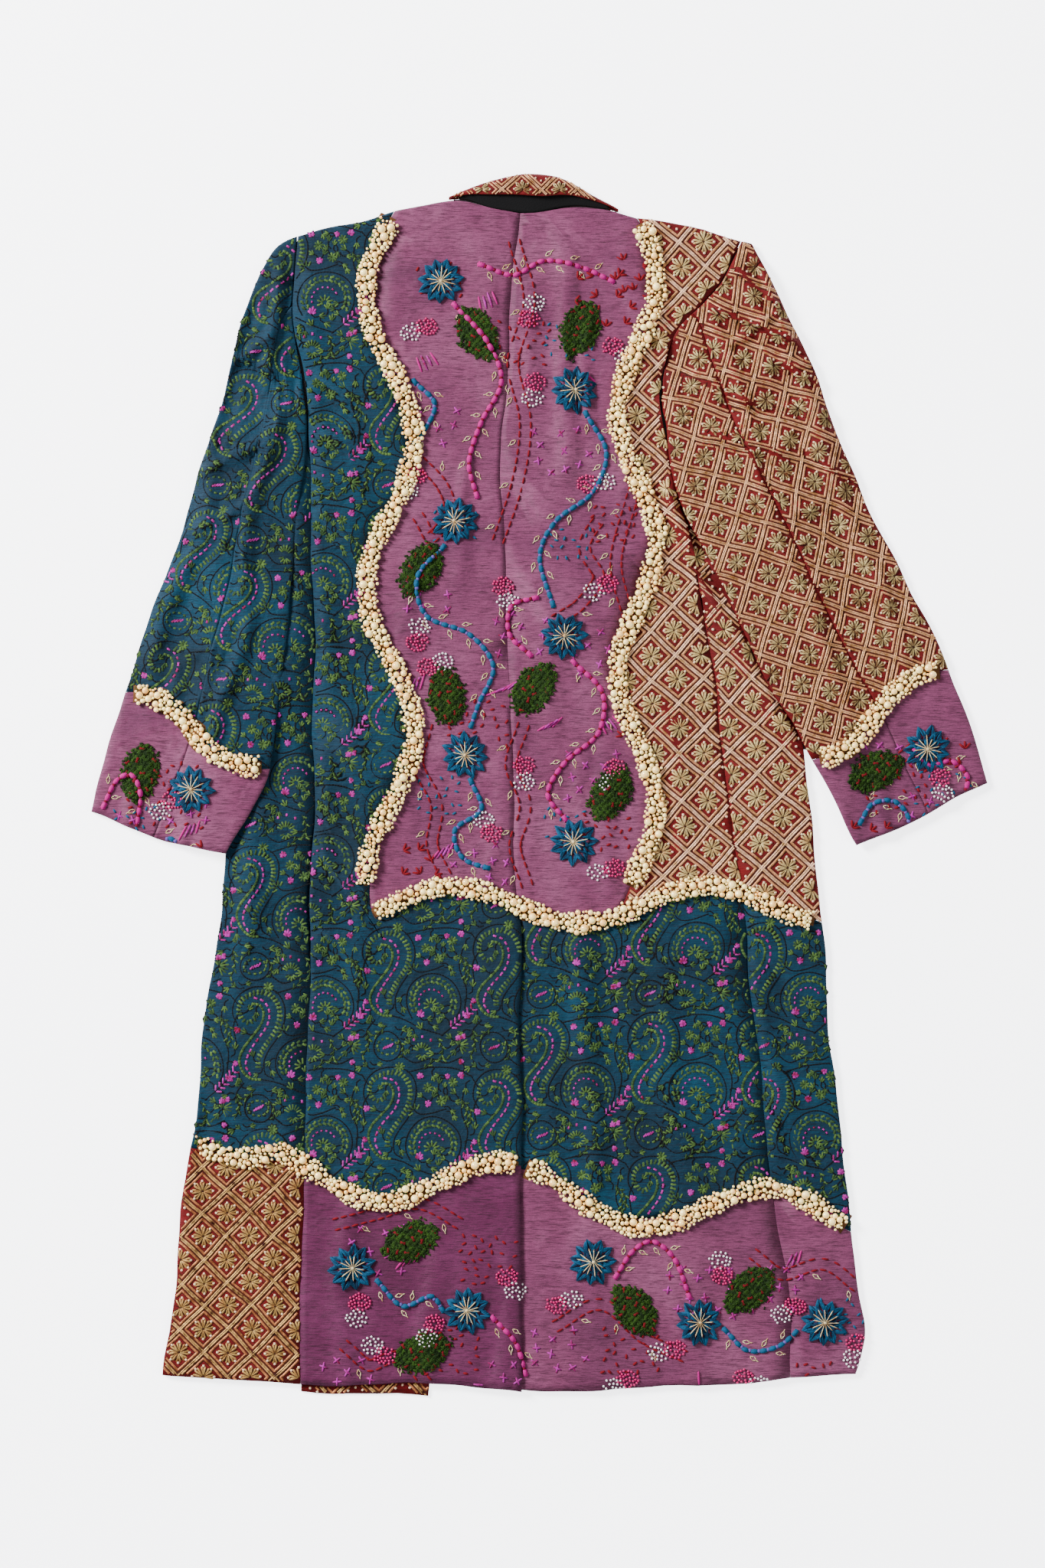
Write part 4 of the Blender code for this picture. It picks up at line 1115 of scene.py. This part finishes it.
def lattice_rosette(pen, petal):
    """Eight petals of two stitches, a small bead at each petal's end and one in the middle."""
    for turn in range(0, 360, 45):
        for lean in (10, -10):
            pen.leaf(petal, 0, 0, turn + lean, 10.6, 2.4, 1.4)
        pen.leaf("brown", 0, 0, turn + 22.5, 8.6, 1.2, 1.5)
        t = math.radians(turn)
        pen.mark("cream", *polar(10.2, t), t, 2.8, 2.6, 1.7)
    pen.mark("brown", 0, 0, 0, 2.2, 2.2, 1.7)


# The CAD nodes that are bands of pearls
BANDS = ("pearls_left", "pearls_right", "pearls_waist", "pearls_hem_left", "pearls_hem_right",
         "pearls_cuff_left", "pearls_cuff_right")
# Radius range in mm, tries to the square metre, least way in from the band's edge, ball form
PEARL_SIZES = ((3.1, 4.4, 26000, 6.5, 2), (2.0, 2.9, 300000, 4.5, 2), (1.3, 1.9, 1200000, 3.2, 1))
# The least distance of two pearls as a share of their radii, how far a pearl strays from its place
# in mm, and the share of the room above the cloth to which it rises
PEARL_ROOM, PEARL_STRAY, PEARL_RISE = 0.88, 1.6, 0.55
# Cells in which neighbours are looked for, wider than the largest pearl, in metres
PEARL_CELL = 0.011
# Length of the waves along a band's edge in mm, and how far they cut in
EDGE_WAVE, EDGE_CUT = 9.0, 2.4
# Where a band lies lower than its solid, so that it hides a seam: middle, half width and drop in mm
BAND_DROPS = {"pearls_hem_left": (-297, 54, 22)}
# The ground between the pearls, coloured dark as painted shade between them: its share of a
# band's height, how far its rim sinks, and its least height
BED_SHARE, BED_SINK, BED_LEAST = 0.5, 3.2 * MM, 0.2 * MM
# Ways in which a pearl looks for its band's edge
COMPASS = [polar(1, math.tau * i / 6) for i in range(6)]


def band_drop(node, x):
    """How far down a band's pearls at x lie from its solid, in metres."""
    middle, half, drop = BAND_DROPS.get(node, (0, 0, 0))
    share = abs(x / MM - middle) / half if half else 1
    return drop * MM * math.cos(share * math.pi / 2) ** 2 if share < 1 else 0.0


def strewn_pearls(node, tree, cover):
    """Pearls by ball form, that don't touch each other and stay inside their band."""
    low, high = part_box(node)
    area = (high.x - low.x) * (high.y - low.y)
    taken, by_form = {}, {}
    for small, large, tries, least, form in PEARL_SIZES:
        for _ in range(int(tries * area)):
            x = random.uniform(low.x, high.x)
            y = random.uniform(low.y, high.y)
            hit = ray_down(tree, x, y)[0]
            if hit is None:
                continue
            base = cover.height(x, y)
            tall = hit.z - base
            wave = math.sin(x / MM / EDGE_WAVE) + math.sin(y / MM / EDGE_WAVE + 1.7)
            inset = (least + EDGE_CUT * max(0.0, 0.5 * wave)) * MM
            if any(ray_down(tree, x + u * inset, y + v * inset)[0] is None for u, v in COMPASS):
                continue
            x += random.uniform(-PEARL_STRAY, PEARL_STRAY) * MM
            y += random.uniform(-PEARL_STRAY, PEARL_STRAY) * MM
            r = random.uniform(small, large) * MM
            key = (int(x / PEARL_CELL), int(y / PEARL_CELL))
            near = (p for i in (-1, 0, 1) for j in (-1, 0, 1)
                    for p in taken.get((key[0] + i, key[1] + j), ()))
            if any((x - p[0]) ** 2 + (y - p[1]) ** 2 < (PEARL_ROOM * (r + p[2])) ** 2 for p in near):
                continue
            drop = band_drop(node, x)
            if drop:
                base = cover.height(x, y - drop)
            z = base + r + max(0.0, tall - 2 * r) * PEARL_RISE
            taken.setdefault(key, []).append((x, y, r))
            by_form.setdefault(form, []).append((x, y - drop, z, r))
    return by_form


def make_pearls(cover, materials):
    forms = {1: ball(1), 2: ball(2)}
    for node in BANDS:
        source = solid_mesh(node)
        by_form = strewn_pearls(node, BVHTree.FromBMesh(source), cover)
        parts = [(*balls(places, forms[form]), materials["pearl"]) for form, places in by_form.items()]
        for v in source.verts:
            base = cover.height(v.co.x, v.co.y)
            v.co.y -= band_drop(node, v.co.x)
            v.co.z = max(BED_LEAST, base + (v.co.z - base) * BED_SHARE - BED_SINK)
        bmesh.ops.triangulate(source, faces=source.faces)
        # The band's solid, sunk, as the ground under the pearls, coloured dark as painted shade
        bed = (np.array([v.co[:] for v in source.verts]),
               np.array([[v.index for v in f.verts] for f in source.faces]), materials["bed"])
        source.free()
        piece = build_mesh("beads_" + node, parts + [bed])
        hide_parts(node)


# A stitched flower: petals, its reach and the reach of its notches in mm, dome height, spokes, and
# the share of its petals' stitches that are of the lighter thread
PETALS, PETAL_REACH, NOTCH_REACH, DOME, SPOKES, LIGHT_STITCHES = 11, 24.5, 16.5, 3.4, 13, 0.7


def flower_marks(x, y, turn):
    """A padded flower of satin stitches with pale spokes."""
    pen = Pen()
    pen.set(x, y, math.radians(turn))
    for p in range(PETALS):
        middle = 2 * math.pi * p / PETALS + random.uniform(-0.06, 0.06)
        tip = PETAL_REACH * random.uniform(0.92, 1.04)
        for share in (1.0, 0.86, 0.7, 0.52, 0.34, 0.16):
            for side in (-1, 1):
                angle = middle + side * (1 - share) * math.pi / PETALS
                outer = mix(NOTCH_REACH, tip, share)
                length = outer * mix(0.62, 0.5, share)
                heading = angle - side * 0.34 * (1 - 0.5 * share)
                u, v = polar(-0.5 * length, heading, *polar(outer, angle))
                lift = DOME * (1 - (math.hypot(u, v) / PETAL_REACH) ** 2)
                ink = "flower_blue" if random.random() < LIGHT_STITCHES else "flower_dark"
                pen.mark(ink, u, v, heading, length, 1.9, 1.3, max(0.0, lift))
    for ring, count in ((7.5, 12), (3.5, 6)):
        for i in range(count):
            a = 2 * math.pi * (i + random.uniform(-0.2, 0.2)) / count
            pen.mark("flower_blue" if i % 2 else "flower_dark", *polar(ring, a), a, 7.5, 3.4, 1.4,
                     DOME - 0.3)
    for s in range(SPOKES):
        a = 2 * math.pi * (s + random.uniform(-0.22, 0.22)) / SPOKES
        length = random.uniform(11, 15.5)
        pen.mark("bone", *polar(0.5 * length, a), a, length, 0.9, 1.1, DOME + 0.7)
    pen.mark("bone", 0, 0, 0, 3.4, 3.4, 2.2, DOME + 1.1)
    return pen


def called(kind):
    """The CAD nodes whose names start so, and their middles in plan mm."""
    for node in sorted(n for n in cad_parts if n.startswith(kind)):
        low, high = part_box(node)
        yield node, (low + high) / 2 / MM


def make_flowers(cover, threads):
    ground = set(cover.owner)
    for node, middle in called("flower"):
        pen = flower_marks(middle.x, middle.y, random.uniform(0, 60))
        piece = sew("stitched_" + node, pen, cover, ground, threads)
        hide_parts(node)


# Moss: loops tried in each patch, how far they stray in mm, and the longer dark red stitches on
# it, with the room between
MOSS_TRIES, MOSS_STRAY, MOSS_STITCHES, STITCH_ROOM = 2100, 2.2, 60, 7.5


def make_leaves(cover, threads):
    ground = set(cover.owner)
    for node, _ in called("leaf"):
        source = solid_mesh(node)
        tree = BVHTree.FromBMesh(source)
        source.free()
        low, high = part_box(node)
        pen = Pen()
        spots = []
        for number in range(MOSS_TRIES + MOSS_STITCHES):
            x, y = random.uniform(low.x, high.x), random.uniform(low.y, high.y)
            hit = ray_down(tree, x, y)[0]
            place = cover.at(x, y)[0]
            if hit is None or place is None:
                continue
            x, y, tall = x / MM, y / MM, (hit.z - place.z) / MM
            turn = random.uniform(0, math.pi)
            if number < MOSS_TRIES:
                x, y = x + random.gauss(0, MOSS_STRAY), y + random.gauss(0, MOSS_STRAY)
                # Loops in the lumps' hollows are mostly of the darker thread, as painted shade; some are
                # darker at random
                lump = math.sin(x * 0.9) * math.sin(y * 0.8 + 1.0)
                ink = "moss" if lump + random.gauss(0, 0.5) > -0.3 else "moss_dark"
                pen.mark(ink, x, y, turn, random.uniform(3.0, 4.6), 2.3, 1.8,
                         max(0.0, tall - 1.9) + 0.7 * lump)
            elif all(math.hypot(x - u, y - v) > STITCH_ROOM for u, v in spots):
                spots.append((x, y))
                for lean in (-0.35, 0.0, 0.35):
                    pen.mark("maroon", x, y, turn + lean, 6.4, 2.0, 1.5, max(0.0, tall - 0.6))
        piece = sew("looped_" + node, pen, cover, ground, threads)
        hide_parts(node)


# The thread and the wraps of each kind of rope
ROPE_THREADS = {"red": ("rope_magenta", "wrap_red"), "blue": ("rope_blue", "wrap_lilac")}
# Couched ropes: their kind and the places they run through, plan mm
ROPES = (
    ("red", ((-84, 476), (-52, 440), (-38, 400), (-58, 360), (-70, 320), (-62, 286))),
    ("blue", ((46, 368), (66, 330), (52, 290), (16, 262), (0, 226), (14, 176))),
    ("red", ((34, 122), (62, 92), (58, 52), (26, 24), (8, -8), (26, -34))),
    ("blue", ((-96, 236), (-122, 206), (-112, 168), (-70, 150), (-46, 118), (-60, 82), (-70, 54))),
    ("red", ((-58, 516), (-26, 506), (4, 520), (40, 514), (72, 500))),
    ("blue", ((-124, 400), (-104, 378), (-116, 350), (-134, 330))),
    ("red", ((-10, 130), (-30, 150), (-28, 178), (-4, 186))),
    ("blue", ((-68, 4), (-58, -24), (-84, -44), (-76, -72), (-44, -84))),
    ("red", ((-432, -20), (-420, 4), (-404, 10), (-396, -10), (-400, -44))),
    ("blue", ((-386, -66), (-372, -52), (-350, -62), (-336, -86))),
    ("blue", ((318, -36), (330, -18), (352, -16), (366, -34), (360, -56))),
    ("red", ((372, 34), (386, 20), (408, 24), (424, 8), (418, -16))),
    ("blue", ((-160, -492), (-136, -516), (-108, -506), (-96, -520))),
    ("red", ((-46, -528), (-24, -552), (-14, -584))),
    ("red", ((76, -486), (92, -462), (112, -452), (134, -470), (148, -506))),
    ("blue", ((184, -540), (206, -560), (236, -556), (256, -540))),
)
# Running stitches go along each line, and along a second line beside it
RUNNING = (
    ((-30, 536), (-16, 480), (-32, 420), (-20, 360), (-28, 300), (-48, 240)),
    ((86, 380), (98, 330), (84, 280), (70, 220), (84, 160), (92, 110)),
    ((-118, 60), (-126, 20), (-108, -20), (-112, -60), (-96, -96)),
    ((-22, 60), (-34, 20), (-20, -20), (-30, -60), (-18, -100)),
    ((-124, 262), (-108, 240), (-84, 268), (-92, 300), (-120, 330)),
    ((20, 160), (44, 176), (64, 206), (50, 236), (64, 262)),
    ((20, -540), (60, -520), (100, -552), (140, -570)),
    ((-200, -440), (-160, -430), (-120, -420), (-80, -440)),
    ((210, -470), (240, -490), (280, -480), (310, -500)),
    ((-430, -62), (-410, -76), (-384, -72), (-360, -88)), ((318, 16), (344, 10), (360, 22), (384, 40)),
    ((-196, -560), (-170, -580), (-140, -572), (-116, -596)),
)
# How far apart the two lines are, and the step along them, in mm
RUNNING_GAP, RUNNING_STEP = 11.0, 8.8
# Bead clusters: place, heading of the pair in degrees
CLUSTERS = (
    (-8, 470, 250), (56, 300, 190), (-120, 150, 260), (-16, 12, 90), (88, 110, 120), (-370, -20, 40),
    (398, 0, 100), (-180, -520, 80), (80, -592, 30), (180, -478, 280), (-120, 452, 20), (-6, 392, 80),
    (78, 430, 140), (-126, 300, 60), (60, 196, 30), (-34, 190, 110), (-104, 120, 200), (72, 10, 75),
    (-52, -40, 300), (66, -84, 15), (-108, -540, 60), (-28, -494, 120), (24, -512, 200), (126, -560, 10),
    (210, -590, 160), (312, -560, 80), (246, -520, 30), (-160, -560, 320),
)
# Strewn stitches: place, spread in mm, kind
STREWN = (
    (-20, 440, 30, "seed"), (60, 130, 28, "cross"), (-112, 190, 24, "cross"), (20, 330, 30, "cross"),
    (-370, -10, 40, "seed"), (-402, -40, 26, "dot"), (350, 0, 34, "seed"), (400, -10, 30, "dot"),
    (160, -500, 34, "cross"), (-160, -460, 30, "cross"), (-50, -470, 30, "seed"), (20, -560, 26, "cross"),
    (60, 480, 34, "tick"), (-60, 60, 30, "seed"), (-20, 150, 26, "cross"), (74, 260, 24, "seed"),
    (-104, 360, 28, "cross"), (50, 10, 30, "cross"), (-60, -80, 30, "cross"), (-90, -560, 30, "seed"),
    (90, -560, 30, "seed"), (230, -500, 30, "cross"), (104, 500, 26, "tick"), (30, 440, 24, "dot"),
    (-100, 500, 22, "seed"), (-84, 260, 22, "dot"), (66, -46, 24, "seed"), (-100, -10, 24, "dot"),
    (300, -530, 26, "dot"), (-190, -590, 26, "cross"), (24, -40, 22, "dot"), (100, 60, 20, "tick"),
    (30, 240, 20, "dot"), (-352, -66, 22, "tick"), (-422, -44, 20, "cross"), (-384, -84, 20, "dot"),
    (-348, -28, 18, "cross"), (328, -50, 20, "tick"), (384, -28, 22, "cross"), (412, 34, 18, "tick"),
    (340, 26, 18, "cross"), (354, -60, 18, "dot"), (272, -586, 22, "seed"), (-40, -590, 22, "cross"),
    (-118, -80, 20, "tick"),
)
# Places tried for strewn stitches, and the room between them in mm
STREWN_TRIES = 90
STREWN_ROOM = {"seed": 7.0, "cross": 14.0, "tick": 14.0, "dot": 7.0}
# The thread, lean, length, width and height of their marks; a tick has three leaves in their place
STREWN_MARKS = {
    "seed": (("stitch_red", 0.0, 5.2, 2.8, 1.4),), "dot": (("rope_blue", 0.0, 4.6, 2.4, 1.3),),
    "cross": (("magenta", 0.0, 10.5, 2.4, 1.2), ("magenta", 1.4, 9.0, 2.4, 1.7)),
}
# Bars of long stitches: place, heading in degrees, count, and the step between them in mm
BARS = (
    (96, 330, 70, 4), (-124, 100, 60, 4), (70, 60, 120, 4), (-36, 96, 20, 5), (-52, 480, 100, 4),
    (-96, -66, 50, 4), (150, -590, 80, 4), (-120, -590, 70, 4), (250, -470, 60, 4), (-346, -44, 60, 4),
    (372, 30, 100, 3), (44, 400, 130, 4), (-130, -470, 50, 4), (10, 60, 30, 4), (-112, 420, 110, 4),
    (106, -70, 100, 3),
)
BAR_STEP = 5.0
# How near a leaf's middle a rope lies on it, and how far it is lifted there, in mm
LEAF_REACH, LEAF_LIFT = 20, 3.4


def over_leaf(x, y):
    """How far a rope is lifted at a place by a leaf below it, in mm."""
    near = any(math.hypot(x - middle.x, y - middle.y) < LEAF_REACH for _, middle in called("leaf"))
    return LEAF_LIFT if near else 0.0


# A couched rope: its segments' step, length, width and height, and its wraps' length, width and
# height, in mm
ROPE_STEP, ROPE_SIZE, WRAP_SIZE = 9.2, (8.6, 5.6, 3.3), (3.6, 4.2, 2.9)
# How far apart the loops beside a rope are, and how far to its side, in mm
DAISY_STEP, DAISY_SHIFT = 12, 7


def couched_ropes(ropes, fine):
    for kind, points in ROPES:
        rope, wrap = ROPE_THREADS[kind]
        places = curve(points, ROPE_STEP)
        for x, y, heading in places:
            ropes.mark(rope, x, y, heading, *ROPE_SIZE, over_leaf(x, y))
        for (x0, y0, _), (x1, y1, _) in zip(places, places[1:]):
            x, y = (x0 + x1) / 2, (y0 + y1) / 2
            ropes.mark(wrap, x, y, math.atan2(y1 - y0, x1 - x0), *WRAP_SIZE, over_leaf(x, y))
        for x, y, heading in (places[0], places[-1]):
            for lean in (-0.7, 0.0, 0.7):
                fine.mark(rope, x, y, heading + lean, 9.0, 2.0, 1.6)
        for number, (x, y, heading) in enumerate(curve(points, DAISY_STEP)[1:-1]):
            side = 1 if number % 2 else -1
            daisy(fine, *sideways(x, y, heading, DAISY_SHIFT * side),
                  heading + side * random.uniform(0.3, 1.1))


def strewn_stitches(fine):
    for x, y, spread, kind in STREWN:
        spots = []
        for _ in range(STREWN_TRIES):
            u = x + random.uniform(-spread, spread)
            v = y + random.uniform(-spread, spread) * 0.8
            if any(math.hypot(u - p, v - q) < STREWN_ROOM[kind] for p, q in spots):
                continue
            spots.append((u, v))
            turn = random.uniform(0, math.pi)
            for ink, lean, *size in STREWN_MARKS.get(kind, ()):
                fine.mark(ink, u, v, turn + lean, *size)
            for lean in (-0.8, 0.0, 0.8) if kind == "tick" else ():
                fine.leaf("stitch_red", u, v, math.degrees(turn + lean), 8.0, 2.8, 1.5)
    for x, y, heading, count in BARS:
        turn = math.radians(heading)
        for i in range(count):
            shift = (i - (count - 1) / 2) * BAR_STEP
            fine.mark("magenta" if i % 3 else "rope_magenta", x + shift, y + 0.4 * shift, turn + 0.08 * i,
                      random.uniform(13, 19), 2.5, 1.5)


# Seed beads: material, which half of the pair, least distance and radius in mm
SEEDS = (("seed_magenta", 1, 2.6, 1.5), ("seed_white", -1, 3.1, 1.3))
# A cluster's reach, its distance from the pair's middle and its height as a share of its width;
# the places tried for its beads, and how high their middles are in mm
CLUSTER_REACH, CLUSTER_SHIFT, CLUSTER_FLATTEN = 11.0, 8.0, 0.8
SEED_TRIES, SEED_HEIGHT = 340, 0.9


def seed_clusters(cover, ground):
    """Balls for pairs of round clusters, one of each colour side by side."""
    seeds = {ink: [] for ink, *_ in SEEDS}
    for x, y, turn in CLUSTERS:
        for ink, way, step, radius in SEEDS:
            cx, cy = polar(CLUSTER_SHIFT * way, math.radians(turn), x, y)
            spots = []
            for _ in range(SEED_TRIES):
                reach, angle = CLUSTER_REACH * math.sqrt(random.random()), random.uniform(0, math.tau)
                u = cx + reach * math.cos(angle)
                v = cy + CLUSTER_FLATTEN * reach * math.sin(angle)
                if any(math.hypot(u - p, v - q) < step for p, q in spots):
                    continue
                spots.append((u, v))
                place, _, node = cover.at(u * MM, v * MM)
                if node in ground:
                    seeds[ink].append((u * MM, v * MM, place.z + SEED_HEIGHT * MM, radius * MM))
    return seeds


def make_trimmings(cover, threads, materials):
    ground = set(CLOTHS["plum_silk"])
    ropes, fine, running = Pen(), Pen(), Pen()
    couched_ropes(ropes, fine)
    for points in RUNNING:
        for number, (x, y, heading) in enumerate(curve(points, RUNNING_STEP)):
            for shift in (0.0, RUNNING_GAP):
                running.mark("stitch_red", *sideways(x, y, heading, shift), heading, 7.2, 2.5, 1.6)
            if number % 5 == 3:
                daisy(fine, *sideways(x, y, heading, -6), heading - 0.8)
    strewn_stitches(fine)
    for name, pen in (("couched_ropes", ropes), ("running_stitches", running),
                      ("fine_stitches", fine)):
        sew(name, pen, cover, ground, threads, "bean")
    form = ball(1)
    beads = [(*balls(found, form), materials[ink])
             for ink, found in seed_clusters(cover, ground).items()]
    build_mesh("seed_beads", beads)


def daisy(pen, x, y, heading):
    """A small open loop of pale thread."""
    c, s = math.cos(heading), math.sin(heading)
    for side in (-1, 1):
        for end in (-1, 1):
            pen.mark("bone", x + c * 1.9 * end - s * 1.1 * side,
                     y + s * 1.9 * end + c * 1.1 * side, heading - 0.42 * side * end, 4.8, 1.0, 1.1)
    pen.mark("bone", x + c * 4.8, y + s * 4.8, heading, 3.0, 1.0, 1.1)


# The floor's glow brings it near the photo's white; it reaches past the picture's edge, in metres,
# lies a little below the coat, and is cut in cells to find where the coat hides it
FLOOR_GLOW = 3.3
FLOOR_TINT = (0.945, 0.955, 1.0, 1.0)
FLOOR_HALF, FLOOR_Z, FLOOR_CELL = 9.0, -0.0002, 0.006


def make_floor(cover):
    """A pale floor that glows a little, but for the strips that the coat hides, which are dark as painted
    shade under the coat and in its narrow gaps.
    """
    (x0, y0, _), (x1, y1, _) = CAD_BOX
    columns = [x0 + FLOOR_CELL * i for i in range(int((x1 - x0) / FLOOR_CELL) + 1)]
    rows = [y0 + FLOOR_CELL * j for j in range(int((y1 - y0) / FLOOR_CELL) + 1)]
    hidden = [[cover.hides(x, y) for x in columns] for y in rows]
    strips = [(-FLOOR_HALF, FLOOR_HALF, -FLOOR_HALF, rows[0], 0),
              (-FLOOR_HALF, FLOOR_HALF, rows[-1], FLOOR_HALF, 0)]
    for j, (low, high) in enumerate(zip(rows, rows[1:])):
        cells = [int(all(hidden[b][a] for b in (j, j + 1) for a in (i, i + 1)))
                 for i in range(len(columns) - 1)]
        left, kind = -FLOOR_HALF, 0
        for column, cell in zip(columns, cells):
            if cell != kind:
                strips.append((left, column, low, high, kind))
                left, kind = column, cell
        strips.append((left, FLOOR_HALF, low, high, kind))
    mesh = bpy.data.meshes.new("floor")
    corners = [corner for left, right, low, high, _ in strips
               for corner in ((left, low, 0), (right, low, 0), (right, high, 0), (left, high, 0))]
    mesh.from_pydata(corners, [], [tuple(range(4 * i, 4 * i + 4)) for i in range(len(strips))])
    for face, strip in zip(mesh.polygons, strips):
        face.material_index = strip[-1]
    floor = placed("floor", mesh)
    floor.location.z = FLOOR_Z
    bright, shaded = (Nodes(name, 0.9, 0.2) for name in ("floor", "floor_painted_shade"))
    give(bright.shader, {"Base Color": colour("floor"), "Emission Color": FLOOR_TINT,
                         "Emission Strength": FLOOR_GLOW})
    give(shaded.shader, {"Base Color": colour("floor_painted_shade")})
    mesh.materials.append(bright.material)
    mesh.materials.append(shaded.material)


# Lights that point at the coat's middle: name, place and side in metres, power in watts
LIGHTS = (("key", (-4.4, 2.6, 3.2), 1.8, 1500), ("fill", (4.4, -1.2, 4.4), 3.0, 240))
# The even light from all round
SKY = {"Color": (1, 1, 1, 1), "Strength": 0.5}


def make_lights():
    world = bpy.data.worlds.new("studio")
    world.use_nodes = True
    give(world.node_tree.nodes["Background"], SKY)
    bpy.context.scene.world = world
    for name, place, side, power in LIGHTS:
        data = bpy.data.lights.new(name, "AREA")
        data.shape = "RECTANGLE"
        data.size = data.size_y = side
        data.energy = power
        light = placed(name, data)
        light.location = place
        light.rotation_euler = Vector(place).to_track_quat("Z", "Y").to_euler()


def make_camera():
    data = bpy.data.cameras.new("camera")
    data.lens, data.sensor_width = LENS, SENSOR
    data.sensor_fit = "AUTO"
    camera = placed("camera", data)
    camera.location = (*FRAME_CENTRE, FRAME_HEIGHT * LENS / SENSOR)
    bpy.context.scene.camera = camera


make_camera()
make_lights()
materials = make_materials()
threads = make_threads()
shells = make_cloths(materials)
cover = Cover(shells)
make_floor(cover)
make_paisley(cover, threads)
make_lattice(cover, threads)
make_pearls(cover, materials)
make_flowers(cover, threads)
make_leaves(cover, threads)
make_trimmings(cover, threads, materials)
